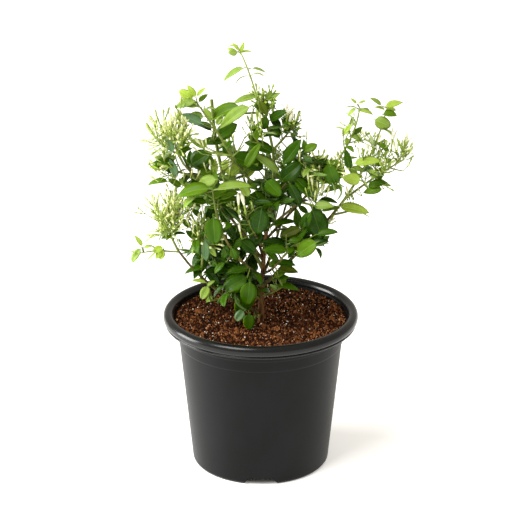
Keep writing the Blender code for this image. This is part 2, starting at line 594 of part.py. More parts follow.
class Sprout:
    """Grows one mass: twigs, leaves and buds that keep to the mass's space."""

    def __init__(self, mass, stem, spaces):
        self.mass = mass
        self.stem = stem
        self.spaces = spaces
        self.draw = random.Random(mass.name)
        self.collection = new_collection(mass.name + "_pieces")
        self.blades = []
        self.count = 0

    def add(self, points, faces):
        self.count += 1
        object_of(f"{self.mass.name}_piece_{self.count}", points, faces, self.collection)

    def blade_fits(self, points, faces):
        """True if the leaf is in this mass's space and crosses no leaf that has been placed in it."""
        root = points[0]
        outline = samples([*points[1:6], points[1]], 3 * MM) + samples([points[6], points[3]], 3 * MM)
        outline += samples([root.lerp(points[6], 0.3), points[6]], 3 * MM)
        if not self.spaces.holds(self.mass.name, outline):
            return False
        clear = [root.lerp(point, 0.25) if point is root else point for point in points]
        blade = BVHTree.FromPolygons([root.lerp(points[6], 0.35), *clear[1:]], faces)
        if any(blade.overlap(other) for other in self.blades):
            return False
        self.blades.append(blade)
        return True

    def leaf(self, root, along, turn, length):
        """One leaf at a node, turned round its twig, swung or shortened until it fits, and else skipped."""
        level, upward = across(along)
        spread = math.radians(self.mass.spread)
        for scale in LEAF_SCALES:
            for swing in LEAF_SWINGS:
                angle = math.radians(turn + swing)
                out = level * math.cos(angle) + upward * math.sin(angle)
                droop = math.radians(self.mass.droop + self.draw.uniform(-10, 10))
                toward = out * math.sin(spread) + along * math.cos(spread) - UP * math.tan(droop) * 0.7
                toward.normalize()
                normal = UP * 0.8 + Vector((root.x, root.y, 0)).normalized() * 0.5
                normal += heading(self.draw.uniform(0, 360), 0) * 0.3
                normal = (normal - toward * normal.dot(toward)).normalized()
                points, faces = leaf_solid(root, toward, normal, length * scale)
                if self.blade_fits(points, faces):
                    self.add(points, faces)
                    return

    def pair(self, root, along, turn, length):
        for half in (0, 180):
            jitter = self.draw.uniform(-12, 12)
            self.leaf(root, along, turn + half + jitter, length * self.draw.uniform(0.88, 1.1))

    def bud(self, root, along, turn, lean, flower=False):
        """A bud or a long white flower that leans out from the twig by this angle."""
        level, upward = across(along)
        out = level * math.cos(math.radians(turn)) + upward * math.sin(math.radians(turn))
        toward = (along * math.cos(math.radians(lean)) + out * math.sin(math.radians(lean))).normalized()
        length, radius = (FLOWER_LENGTH, FLOWER_RADIUS) if flower else (BUD_LENGTH, BUD_RADIUS)
        length *= self.draw.uniform(0.85, 1.1)
        line = samples([root + toward * 4 * MM, root + toward * length], 2 * MM)
        if self.spaces.holds(self.mass.name, line):
            self.add(*club(root, toward, length, radius))

    def bud_pairs(self, points, turn):
        """Opposite pairs of buds down a twig, and one bud at its tip."""
        for number in range(self.mass.bud_pairs):
            root, along = share_point(points, BUD_NODES[number])
            for half in (0, 180):
                self.bud(root, along, turn + 90 * number + half, BUD_LEANS[number])
        root, along = share_point(points, 0.96)
        self.bud(root, along, turn, 4)

    def twig(self, root, along, length, buds):
        """A side twig with a pair of leaves part way, and buds or a smaller pair of leaves at its tip."""
        leaf = self.mass.leaf * MM * (self.mass.twig_leaf if buds else 0.85)
        azimuth = math.degrees(math.atan2(along.y, along.x))
        rise = math.degrees(math.asin(max(-1, min(1, along.z))))
        points = centre_line(root, azimuth, rise, length, self.draw.uniform(6, 20), 0, 2)
        if not self.spaces.holds(self.mass.name, samples(points, 2 * MM)[2:]):
            return
        self.add(*tube(points, [0.85 * MM, 0.75 * MM, 0.6 * MM], TWIG_SIDES))
        turn = self.draw.uniform(0, 180)
        if leaf:
            root, toward = share_point(points, 0.42)
            self.pair(root, toward, turn, leaf)
        if buds:
            self.bud_pairs(points, turn + 90)
        else:
            root, toward = share_point(points, 0.93)
            self.pair(root, toward, turn + 90, leaf * 0.75)

    def grow(self, material):
        """Builds the mass as one solid and returns its object."""
        mass, stem_points = self.mass, self.stem.points
        obj = object_of(mass.name, *tube(stem_points, self.stem.radii, TWIG_SIDES, self.stem.cut_normal))
        for number in range(mass.pairs):
            share = (number + 1) / mass.pairs * 0.96
            root, along = share_point(stem_points, share)
            self.pair(root, along, mass.turn + 90 * number, mass.leaf * MM * (1.1 - 0.3 * share))
        for number in range(mass.twigs):
            share = 0.35 + 0.58 * (number + 0.5) / mass.twigs
            root, along = share_point(stem_points, share)
            turn = math.radians(mass.turn + 45 + 137.5 * number)
            level, upward = across(along)
            out = level * math.cos(turn) + upward * math.sin(turn)
            length = mass.twig_length * MM * self.draw.uniform(0.85, 1.1)
            budded = number >= mass.twigs - mass.buds
            self.twig(root, (along * 0.66 + out * 0.75).normalized(), length, budded)
        tip, along = share_point(stem_points, 0.97)
        if mass.buds:
            self.bud_pairs([stem_points[-2], stem_points[-1]], mass.turn)
        for number in range(mass.flowers):
            self.bud(tip, along, 120 * number, 34, flower=True)
        boolean(obj, "UNION", self.collection)
        obj.data.materials.clear()
        obj.data.materials.append(material)
        return obj


def clear_scene():
    for obj in list(bpy.data.objects):
        bpy.data.objects.remove(obj)


def main():
    clear_scene()
    bark = plastic("brown bark", (0.13, 0.062, 0.03), 0.8)
    green = plastic("leaf green", (0.075, 0.19, 0.02), 0.5)
    make_pot(plastic("charcoal polypropylene", (0.04, 0.042, 0.045), 0.5))
    make_soil(plastic("brown potting mix", (0.11, 0.045, 0.022), 0.95))
    limbs = {"trunk": grow_limb(TRUNK, {}, TRUNK_STEPS)}
    for bough in BOUGHS:
        limbs[bough.name] = grow_limb(bough, limbs, BOUGH_STEPS)
    for name, limb in limbs.items():
        sides = TRUNK_SIDES if name == "trunk" else BOUGH_SIDES
        obj = object_of(name, *tube(limb.points, limb.radii, sides, limb.cut_normal))
        obj.data.materials.append(bark)
    stems = {mass.name: grow_limb(mass, limbs, max(2, round(mass.length / 20))) for mass in MASSES}
    spaces = Spaces(stems, limbs)
    for mass in MASSES:
        Sprout(mass, stems[mass.name], spaces).grow(green)


if __name__ == "__main__":
    main()
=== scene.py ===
"""Potted juhi jasmine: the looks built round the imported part.

A moulded nursery pot, its coir potting mix, and the shrub: bark on the trunk and boughs, and masses of
twigs, leaves, buds and flowers that grow on from the boughs by one seeded rule. Lengths are in metres unless
a name or comment says millimetres, +Z is up, and the view from -Y is the front.
"""

import json
import logging
import random
from collections.abc import Iterable, Sequence
from dataclasses import KW_ONLY, dataclass, field
from enum import Enum
from math import asin, atan2, ceil, cos, degrees, hypot, pi, radians, sin, tan

import bmesh
import bpy
import numpy as np
from bpy.types import Collection, Material, Mesh, Node, NodeSocket, NodeTree, Object
from mathutils import Euler, Matrix, Vector, noise
from mathutils.bvhtree import BVHTree

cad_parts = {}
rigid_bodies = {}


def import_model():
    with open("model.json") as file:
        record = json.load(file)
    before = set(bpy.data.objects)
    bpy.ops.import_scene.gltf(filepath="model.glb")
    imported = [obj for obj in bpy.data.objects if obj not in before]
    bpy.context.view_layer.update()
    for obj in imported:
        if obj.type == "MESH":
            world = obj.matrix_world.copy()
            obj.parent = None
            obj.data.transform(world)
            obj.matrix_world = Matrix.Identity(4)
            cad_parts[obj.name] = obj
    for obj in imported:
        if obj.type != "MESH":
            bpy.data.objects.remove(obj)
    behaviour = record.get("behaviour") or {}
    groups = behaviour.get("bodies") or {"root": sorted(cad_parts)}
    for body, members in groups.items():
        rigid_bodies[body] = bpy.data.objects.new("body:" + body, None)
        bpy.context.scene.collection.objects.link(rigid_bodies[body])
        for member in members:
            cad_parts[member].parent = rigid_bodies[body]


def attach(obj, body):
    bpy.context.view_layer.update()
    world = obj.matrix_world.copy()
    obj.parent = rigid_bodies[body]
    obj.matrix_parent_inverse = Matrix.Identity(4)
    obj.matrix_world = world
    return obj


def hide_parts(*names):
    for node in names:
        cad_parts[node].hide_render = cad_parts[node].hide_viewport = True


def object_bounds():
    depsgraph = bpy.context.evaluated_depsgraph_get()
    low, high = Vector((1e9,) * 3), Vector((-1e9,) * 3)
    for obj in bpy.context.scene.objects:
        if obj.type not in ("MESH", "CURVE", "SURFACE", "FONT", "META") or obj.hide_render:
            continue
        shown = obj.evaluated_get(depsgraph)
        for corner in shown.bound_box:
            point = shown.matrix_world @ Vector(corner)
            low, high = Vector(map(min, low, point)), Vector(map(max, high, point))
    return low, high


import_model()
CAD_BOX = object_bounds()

LOG = logging.getLogger("potted_jasmine")
MM = 0.001
UP = Vector((0, 0, 1))
BODY = "root"


class Slot(Enum):
    """The record's material slots."""

    POT = "pot_plastic"
    MIX = "potting_mix"
    BARK = "bark"
    FOLIAGE = "foliage"


class Tint(Enum):
    """The leaf colours of the shrub, from its newest growth to its oldest; the darker ones also serve as
    painted shade on leaves set deep in the crown.
    """

    LIME = "lime"
    PALE = "pale"
    FRESH = "fresh"
    MID = "mid"
    DEEP = "deep"
    DARK = "dark"
    OLIVE = "olive"
    SAGE = "sage"


class Form(Enum):
    """The leaf outlines, each the first of its run of variants."""

    OVATE = 0
    BROAD = 4
    OBLONG = 8
    LEAFLET = 12


class Stage(Enum):
    """How far a bud has come."""

    GREEN = 0
    CREAM = 1
    WHITE = 2
    OPEN = 3


class Wood(Enum):
    """The stem finishes, from the oldest wood to the newest."""

    BARK = "brown bark"
    BROWN = "olive brown bark"
    GREEN = "green stem"
    YOUNG = "young stem"


@dataclass
class Limb:
    """A tapering limb that leaves its parent one way and turns evenly along its length.

    Angles are in degrees: azimuth 0 is +X and 90 is +Y, rise is above level, and curl and swing are how far
    rise and azimuth change from the start to the tip. Lengths and radii are in millimetres.
    """

    name: str
    parent: str
    at: float
    azimuth: float
    rise: float
    length: float
    curl: float = 0
    _: KW_ONLY
    swing: float = 0
    root_radius: float = 1.9
    tip_radius: float = 1.3
    wood: Wood = Wood.BROWN


@dataclass
class Mass(Limb):
    """A mass of foliage on its own stem: pairs of leaves at even nodes, side twigs and their cymes of buds.

    Attributes:
        pairs: Nodes with a pair of leaves along the stem.
        leaf: Leaf length in millimetres.
        turn: How far the first pair is turned round the stem, in degrees.
        droop: How far the leaves hang, in degrees.
        twigs: Side twigs along the stem.
        twig_length: Length of a side twig in millimetres.
        buds: How many twigs, from the tip down, end in a cyme of buds.
        tints: Leaf tints, the more common ones named more often.
        forks: How often a cyme forks.
        spread: Angle at which leaves leave their twig, in degrees.
        form: Leaf outline.
        twig_pairs: Leaf pairs along each side twig.
        leafy_tip: Whether its cymes are on its lower twigs and its tip bears leaves alone.
        ripeness: How ripe its buds are, from 0 for short green knobs to 1 for long cream clubs.
    """

    pairs: int = 3
    leaf: float = 30
    turn: float = 90
    droop: float = 20
    twigs: int = 0
    twig_length: float = 24
    buds: int = 0
    _: KW_ONLY
    tints: tuple[Tint, ...] = (Tint.MID, Tint.DEEP, Tint.DEEP, Tint.DARK, Tint.FRESH)
    forks: int = 1
    spread: float = 60
    form: Form = Form.OVATE
    twig_pairs: int = 2
    leafy_tip: bool = False
    ripeness: float = 0.1
    root_radius: float = 1.25
    tip_radius: float = 0.7
    wood: Wood = Wood.GREEN


LIME, PALE, FRESH, MID, DEEP, DARK, OLIVE, SAGE = Tint
OVATE, BROAD, OBLONG, LEAFLET = Form
GREEN, CREAM, WHITE, OPEN = Stage
YOUNG_TINTS = (LIME, LIME, PALE)
CYME_TINTS = (FRESH, MID, PALE, LIME)
LIGHT_TINTS = (FRESH, PALE, MID)
# Dark sets for the masses deep in the crown: painted shade, on top of the darker green of older leaves.
SHADE_TINTS = (DARK, DEEP, DARK, MID)
INNER_SHADE_TINTS = (DEEP, DARK, DEEP, OLIVE)

TRUNK = Limb("trunk", "", 0, 32, 90, 143, curl=-11, root_radius=3.2, tip_radius=2.1, wood=Wood.BARK)
TRUNK_FOOT = Vector((0.3 * MM, -3 * MM, 157.3 * MM))

BOUGHS = (
    Limb("bough_leader", "trunk", 1.0, 190, 98, 92, -34, root_radius=2.0, wood=Wood.GREEN),
    Limb("bough_upper_left", "trunk", 0.88, 199, 53, 104, 8, root_radius=1.8, wood=Wood.GREEN),
    Limb(
        "bough_cut_stem", "trunk", 0.4, 165, 60, 184, 28,
        swing=12, root_radius=2.3, tip_radius=1.9, wood=Wood.GREEN,
    ),
    Limb("bough_left_middle", "trunk", 0.46, 212, 56, 146, -6, swing=-8, root_radius=2.0),
    Limb("bough_low_left", "trunk", 0.05, 196, 28, 117, 30, root_radius=2.2, tip_radius=1.4),
    Limb("bough_front_left", "trunk", 0.34, 232, 34, 96, 26),
    Limb("bough_centre_front", "trunk", 0.56, 250, 36, 40, 12, root_radius=1.7, tip_radius=1.2),
    Limb("bough_right_long", "trunk", 0.26, 18, 39, 122, 12, swing=-6, root_radius=2.3, tip_radius=1.6),
    Limb("bough_right_back", "trunk", 0.62, 28, 40, 96, 4, swing=-6),
    Limb("bough_right_middle", "trunk", 0.7, -18, 44, 56, 0, root_radius=1.8),
    Limb("bough_shoulder", "trunk", 0.94, -32, 40, 34, 20, root_radius=1.6, tip_radius=1.2),
    Limb("bough_back_left", "trunk", 0.48, 112, 42, 78, 22, root_radius=2.0),
    Limb("bough_back_right", "trunk", 0.34, 62, 40, 72, 20, root_radius=2.0),
    Limb("bough_front_right", "trunk", 0.36, -56, 30, 46, 22, root_radius=1.7, tip_radius=1.2),
)

MASSES = (
    # Name, parent, at, azimuth, rise, length, curl, pairs, leaf, turn, droop, twigs, twig length and buds.
    Mass("top_shoot", "bough_leader", 1.0, 196, 78, 70, -14, 2, 20, 88, 26, root_radius=0.95,
         tip_radius=0.6, tints=YOUNG_TINTS, form=LEAFLET, wood=Wood.YOUNG),
    Mass("top_cluster", "bough_leader", 0.7, 120, 72, 26, 6, 2, 24, 60, 24, 5, 15, 5,
         tints=(PALE, FRESH, LIME)),
    Mass("leader_left_leaves", "bough_leader", 0.92, 190, 2, 22, -4, 1, 34, 10, 16, spread=32,
         tints=(PALE, FRESH)),
    Mass("crown_right", "bough_leader", 0.46, -4, 46, 34, 14, 3, 29, 84, 18, 5, 20, 4,
         tints=(DEEP, MID, DARK, FRESH), ripeness=0.25),
    Mass("crown_left", "bough_leader", 0.46, 214, 26, 30, 30, 3, 28, 50, 20, 4, 18, 3, tints=LIGHT_TINTS),
    Mass("shoulder_right", "bough_shoulder", 1.0, -12, 48, 32, 10, 3, 33, 78, 14, 4, 22, 3,
         tints=(MID, DEEP, FRESH, DARK), ripeness=0.4),
    Mass("upper_left_tip", "bough_upper_left", 1.0, 198, 55, 32, 4, 2, 25, 74, 10, 1, 12, 1,
         tints=(PALE, LIME, FRESH), form=BROAD),
    Mass("upper_left_inner", "bough_upper_left", 0.5, 250, 30, 34, 16, 3, 32, 60, 26, 3, 22),
    Mass("cut_stem_leaves", "bough_cut_stem", 0.76, 250, 24, 18, -10, 2, 31, 20, 22, 1, 16,
         tints=(DEEP, DARK, MID)),
    Mass("upper_left_cyme", "bough_left_middle", 1.0, 206, 60, 30, 18, 2, 20, 40, 24, 9, 29, 9, forks=2,
         tints=CYME_TINTS, twig_pairs=1, ripeness=1),
    Mass("left_middle_leaves", "bough_left_middle", 0.88, 182, 10, 28, 24, 3, 26, 70, 26, 5, 22, 4,
         tints=CYME_TINTS, ripeness=0.7),
    Mass("left_dark_leaves", "bough_left_middle", 0.66, 150, 40, 26, 0, 3, 33, 30, 28, 2, 20,
         tints=SHADE_TINTS),
    Mass("lower_left_cyme", "bough_low_left", 1.0, 208, 64, 36, 8, 2, 20, 40, 24, 11, 30, 11, forks=2,
         tints=CYME_TINTS, twig_pairs=1, ripeness=1),
    Mass("left_tendril", "bough_low_left", 0.97, 188, 12, 44, -24, 2, 18, 72, 20, root_radius=0.9,
         tip_radius=0.55, tints=YOUNG_TINTS, form=LEAFLET, wood=Wood.YOUNG),
    Mass("lower_left_leaves", "bough_low_left", 0.66, 288, 74, 46, 0, 3, 29, 64, 24, 7, 24, 5,
         tints=(FRESH, MID, DEEP, PALE), ripeness=0.9),
    Mass("low_left_inner", "bough_low_left", 0.42, 120, 66, 38, 0, 4, 33, 64, 30, 5, 22, tints=SHADE_TINTS),
    Mass("soil_left_shoot", "bough_low_left", 0.34, 226, 0, 22, 10, 1, 18, 80, 20, root_radius=0.9,
         tip_radius=0.6, tints=YOUNG_TINTS, form=BROAD, wood=Wood.YOUNG),
    Mass("front_left_shoot", "bough_front_left", 1.0, 196, 74, 44, 10, 4, 33, 88, 10, 2, 20,
         root_radius=1.1, tints=(FRESH, MID, PALE)),
    Mass("centre_left", "bough_front_left", 0.58, 176, 30, 38, 20, 4, 33, 66, 36, 8, 24, 3,
         tints=(MID, DEEP, DARK), ripeness=0.2),
    Mass("centre_front", "bough_centre_front", 1.0, 240, 54, 32, 10, 3, 31, 58, 36, 9, 23, 3,
         tints=(MID, DEEP, DARK), ripeness=0.2),
    Mass("left_inner", "trunk", 0.31, 184, 32, 42, 14, 4, 33, 66, 30, 9, 24, tints=INNER_SHADE_TINTS),
    Mass("low_front", "trunk", 0.27, 236, 16, 34, 16, 3, 35, 60, 44, 2, 20, tints=(DEEP, MID), form=BROAD),
    Mass("low_left_front", "trunk", 0.16, 206, 36, 34, 16, 3, 31, 60, 34, 5, 20, tints=INNER_SHADE_TINTS),
    Mass("foot_leaves", "trunk", 0.045, 250, 6, 18, 6, 1, 15, 60, 4, root_radius=0.8, tip_radius=0.5,
         tints=(SAGE, MID), form=BROAD),
    Mass("right_outer", "bough_right_long", 1.0, 2, 40, 72, -8, 2, 24, 74, 22, 9, 22, 8, forks=2,
         root_radius=1.2, tints=(FRESH, PALE, PALE, LIME), ripeness=0.3, twig_pairs=1, swing=-6),
    Mass("right_outer_low", "bough_right_long", 0.82, -24, 18, 28, 10, 1, 24, 50, 20, tints=(PALE, FRESH)),
    Mass("right_shoot_high", "bough_right_long", 0.94, 0, 57, 103, 20, 5, 17, 84, 8, 3, 17, 3,
         root_radius=1.35, tints=YOUNG_TINTS, form=BROAD, wood=Wood.YOUNG, twig_pairs=1, leafy_tip=True,
         swing=10),
    Mass("right_shoot_inner", "bough_right_back", 1.0, 0, 50, 72, 32, 5, 20, 84, 12, 3, 20, 3,
         root_radius=1.2, tints=(LIME, PALE, FRESH), form=OBLONG, wood=Wood.YOUNG, leafy_tip=True),
    Mass("right_middle", "bough_right_middle", 1.0, -14, 54, 38, 8, 4, 33, 76, 24, 8, 25, 6,
         tints=(FRESH, PALE, FRESH), ripeness=0.45),
    Mass("right_hanging", "bough_right_middle", 0.8, -44, 4, 20, 0, 2, 35, 40, 48, tints=(DARK, DEEP)),
    Mass("right_back_middle", "bough_right_back", 0.6, 70, 30, 34, 0, 3, 32, 70, 26, 4, 24,
         tints=SHADE_TINTS),
    Mass("right_low", "trunk", 0.52, -18, 18, 40, 12, 4, 34, 70, 28, 7, 24, tints=INNER_SHADE_TINTS),
    Mass("right_base", "trunk", 0.19, -30, 24, 26, 16, 3, 24, 70, 6, 1, 14, tints=(MID, FRESH, DEEP)),
    Mass("centre_high", "trunk", 0.82, -96, 34, 32, 14, 4, 32, 52, 36, 9, 22, tints=SHADE_TINTS),
    Mass("back_left", "bough_back_left", 1.0, 128, 58, 44, 10, 4, 32, 64, 22, 5, 27, 3),
    Mass("back_left_low", "bough_back_left", 0.6, 168, 18, 42, 14, 4, 32, 68, 24, 7, 26),
    Mass("back_right", "bough_back_right", 1.0, 54, 56, 46, 10, 4, 32, 64, 22, 5, 27, 3),
    Mass("back_middle", "bough_back_right", 0.62, 100, 34, 42, 12, 4, 32, 68, 26, 7, 26),
    Mass("back_high", "trunk", 0.8, 96, 44, 52, 22, 4, 31, 64, 20, 4, 26, 2),
    Mass("front_right", "bough_front_right", 1.0, -52, 42, 22, 12, 3, 32, 64, 30, 2, 18, tints=SHADE_TINTS),
)


def add_node(
    tree: NodeTree, kind: str, inputs: dict[str | int, object] | None = None, **settings: object
) -> Node:
    """Adds a node, sets its properties, and sets or links its inputs.

    Args:
        tree: The tree that gets the node.
        kind: The node's type name.
        inputs: What each input gets, by name or number: a value, or another node's output socket.
        **settings: The node's own properties.

    Returns:
        The node.
    """
    node = tree.nodes.new(kind)
    for name, value in settings.items():
        setattr(node, name, value)
    for name, value in (inputs or {}).items():
        if isinstance(value, NodeSocket):
            tree.links.new(value, node.inputs[name])
        else:
            node.inputs[name].default_value = value
    return node


def linear(code: str) -> tuple[float, float, float, float]:
    """Turns an sRGB hex colour into linear RGBA.

    Args:
        code: Six hex digits.

    Returns:
        Linear red, green, blue and an alpha of 1.
    """
    parts = [int(code[n : n + 2], 16) / 255 for n in (0, 2, 4)]
    return *(p / 12.92 if p <= 0.04045 else ((p + 0.055) / 1.055) ** 2.4 for p in parts), 1


@dataclass(frozen=True)
class Finish:
    """A surface of one colour mottled with another, with its own gloss and its own fine relief.

    Attributes:
        name: The real material's name.
        colour: Main colour, sRGB hex.
        mottle: Second colour, sRGB hex.
        mottle_mm: Size of a patch of the second colour, in millimetres.
        edges: Noise values between which the second colour comes in; closer is sharper.
        roughness: Microfacet roughness at its smoothest and its roughest.
        grain_mm: Size of the relief's grain, in millimetres.
        relief_mm: Height of the relief, in millimetres.
        stretch: How much longer the patches and grain are along X, Y and Z.
        ior: Index of refraction.
        soft: Weight of light scattered under the surface.
        soft_mm: How far that light goes, in millimetres.
        specular: Strength of the mirror-like part, 0.5 being that of the index of refraction.
    """

    name: str
    colour: str
    mottle: str
    mottle_mm: float
    edges: tuple[float, float] = (0.4, 0.62)
    roughness: tuple[float, float] = (0.5, 0.6)
    grain_mm: float = 1.0
    relief_mm: float = 0.1
    stretch: tuple[float, float, float] = (1, 1, 1)
    ior: float = 1.45
    soft: float = 0
    soft_mm: float = 1
    specular: float = 0.5

    def material(self) -> Material:
        """The finish as a Blender material, made once."""
        found = bpy.data.materials.get(self.name)
        if found:
            return found
        material = bpy.data.materials.new(self.name)
        material.use_nodes = True
        material.diffuse_color = linear(self.colour)
        tree = material.node_tree
        shader = tree.nodes["Principled BSDF"]
        place = add_node(tree, "ShaderNodeTexCoord").outputs["Object"]

        def pattern(size_mm: float, detail: float) -> NodeSocket:
            """Noise whose patches are this large."""
            scale = tuple(1 / (size_mm * MM * along) for along in self.stretch)
            mapping = add_node(tree, "ShaderNodeMapping", {"Vector": place, "Scale": scale})
            inputs = {"Vector": mapping.outputs[0], "Scale": 1.0, "Detail": detail}
            return add_node(tree, "ShaderNodeTexNoise", inputs).outputs["Fac"]

        patches = {0: pattern(self.mottle_mm, 3), 1: self.edges[0], 2: self.edges[1]}
        share = add_node(tree, "ShaderNodeMapRange", patches).outputs[0]
        colours = {0: share, 6: linear(self.colour), 7: linear(self.mottle)}
        mixed = add_node(tree, "ShaderNodeMix", colours, data_type="RGBA")
        grain = pattern(self.grain_mm, 4)
        shine = {0: grain, 1: 0.3, 2: 0.7, 3: self.roughness[0], 4: self.roughness[1]}
        gloss = add_node(tree, "ShaderNodeMapRange", shine)
        relief = {"Height": grain, "Distance": self.relief_mm * MM, "Strength": 1.0}
        bump = add_node(tree, "ShaderNodeBump", relief)
        tree.links.new(mixed.outputs[2], shader.inputs["Base Color"])
        tree.links.new(gloss.outputs[0], shader.inputs["Roughness"])
        tree.links.new(bump.outputs[0], shader.inputs["Normal"])
        for name, value in {
            "IOR": self.ior,
            "Subsurface Weight": self.soft,
            "Subsurface Radius": (1.0, 1.0, 0.4),
            "Subsurface Scale": self.soft_mm * MM,
            "Specular IOR Level": self.specular,
        }.items():
            shader.inputs[name].default_value = value
        return material


# Polypropylene, injection moulded and matt: charcoal with a faint bluish bloom where it has been handled.
POT_WALL = Finish(
    "moulded polypropylene", "0f1010", "141617", 38, (0.35, 0.75), (0.38, 0.44), 0.9, 0.02,
    (1, 1, 1.6), 1.49, specular=0.12,
)
# The rolled rim is drawn over a polished part of the mould, so it shines more.
POT_RIM = Finish(
    "polished polypropylene rim", "0c0d0d", "111313", 30, (0.35, 0.75), (0.2, 0.25), 1.6, 0.004,
    (1, 1, 1), 1.49, specular=0.32,
)
# Coir and composted bark, milled: matt red-brown crumbs, darker where they are damp.
MIX_BED = Finish("damp potting mix", "1a0b05", "33180c", 4, (0.4, 0.6), (0.9, 1.0), 1.5, 0.6, specular=0.1)
CRUMBLY = ((0.35, 0.65), (0.88, 1.0), 0.8, 0.3)
DRY = ((0.35, 0.65), (0.85, 1.0), 0.8, 0.3)
CRUMB_DARK = Finish("damp coir crumb", "200e06", "3f1f0e", 18, *CRUMBLY, specular=0.1)
CRUMB_BROWN = Finish("coir crumb", "4e2a16", "82502c", 22, *CRUMBLY, specular=0.1)
CRUMB_LIGHT = Finish("dry bark crumb", "93603c", "b28056", 14, *DRY, specular=0.1)
# Expanded perlite: chalky off-white grit.
PERLITE = Finish("expanded perlite", "efe6da", "d8c4a8", 3, (0.45, 0.7), (0.85, 0.95), 0.6, 0.2)
COIR_FIBRE = Finish("coir fibre", "8a5a34", "6d4226", 5, (0.4, 0.6), (0.8, 0.95), 0.6, 0.05)

# Jasmine wood: brown furrowed bark low down, olive and smooth on this year's growth.
WOOD_FINISHES = {
    Wood.BARK: Finish(
        "jasmine bark", "86603a", "482e1a", 3.2, (0.4, 0.6), (0.72, 0.9), 1.1, 0.35,
        (1, 1, 3.5), specular=0.2,
    ),
    Wood.BROWN: Finish(
        "olive brown bark", "6f6a36", "463e1e", 5, (0.42, 0.62), (0.6, 0.78), 1, 0.16,
        (1, 1, 3), specular=0.2,
    ),
    Wood.GREEN: Finish(
        "green jasmine stem", "7a8a3a", "5a6724", 7, (0.42, 0.66), (0.48, 0.62), 1, 0.08,
        (1, 1, 3), specular=0.3,
    ),
    Wood.YOUNG: Finish(
        "young jasmine stem", "8fa044", "748636", 9, (0.42, 0.66), (0.42, 0.55), 1, 0.05,
        (1, 1, 3), soft=0.1, specular=0.3,
    ),
}


@dataclass(frozen=True)
class LeafFinish:
    """The three surfaces of a leaf: its glossy upper face, its matt underside and its raised midrib.

    Attributes:
        name: The leaf's age or shade in plain words.
        upper: Upper face, sRGB hex.
        mottle: Slow change of colour over the upper face, sRGB hex.
        under: Underside, sRGB hex.
        rib: Midrib and stalk, sRGB hex.
        gloss: Roughness of the waxy upper face at its smoothest.
    """

    name: str
    upper: str
    mottle: str
    under: str
    rib: str
    gloss: float = 0.34

    def materials(self) -> tuple[Material, Material, Material]:
        """The waxy cuticle above, the matt underside and the midrib, as materials."""
        name, rough = self.name, (self.gloss, self.gloss + 0.12)
        upper = Finish(
            f"waxy {name} leaf", self.upper, self.mottle, 13, (0.38, 0.62), rough, 1.6, 0.05,
            soft=0.05, specular=0.14,
        )
        under = Finish(
            f"{name} leaf underside", self.under, self.upper, 30, (0.5, 0.9), (0.6, 0.7), 1.2, 0.05,
            specular=0.2,
        )
        rib = Finish(
            f"{name} leaf midrib", self.rib, self.under, 12, (0.45, 0.8), (0.45, 0.55), 1.2, 0.03,
            specular=0.2,
        )
        return upper.material(), under.material(), rib.material()


# A jasmine leaf is thin, smooth and waxy above, so it shows soft white sheen, and paler and matt below.
LEAF_FINISHES = {
    LIME: LeafFinish("lime", "95af37", "a4be4e", "b6cb75", "a9c258", 0.38),
    PALE: LeafFinish("pale green", "7b9734", "8aa54e", "a2b87a", "92ab59", 0.34),
    FRESH: LeafFinish("fresh green", "4d6f06", "597c13", "759546", "638423", 0.3),
    MID: LeafFinish("mid green", "345801", "3f6401", "5f7e33", "486d12", 0.26),
    # Deep and dark green also stand for the same leaf in the crown's shade: painted shade as well as older
    # leaves.
    DEEP: LeafFinish("deep green", "2d5202", "3a5e02", "5e793a", "446512", 0.24),
    DARK: LeafFinish("dark green", "1d3c02", "284802", "537137", "375510", 0.22),
    OLIVE: LeafFinish("olive", "4a580c", "3e5002", "6d753c", "586421", 0.28),
    SAGE: LeafFinish("sage", "5e8256", "708f5e", "809d73", "759266", 0.4),
}

# Buds are soft and waxy, cream at the tip and green in the calyx.
WAXY = ((0.42, 0.6), (0.5, 0.6), 0.9, 0.03)
BUD_FINISH = Finish("jasmine bud", "e4e6b6", "c6ce86", 6, *WAXY, soft=0.1, specular=0.3)
GREEN_BUD_FINISH = Finish("green jasmine bud", "a4b456", "76902f", 6, *WAXY, soft=0.1, specular=0.3)
CALYX_FINISH = Finish(
    "jasmine calyx", "6e8c2c", "88a244", 6, (0.4, 0.66), (0.5, 0.62), 0.8, 0.04, specular=0.3
)
TUBE_FINISH = Finish("jasmine flower tube", "b0bc5c", "94a644", 6, *WAXY, specular=0.3)
PETAL_FINISH = Finish("jasmine petal", "f6f3e2", "ece9c6", 8, (0.4, 0.7), (0.55, 0.65), 0.9, 0.03, soft=0.2)


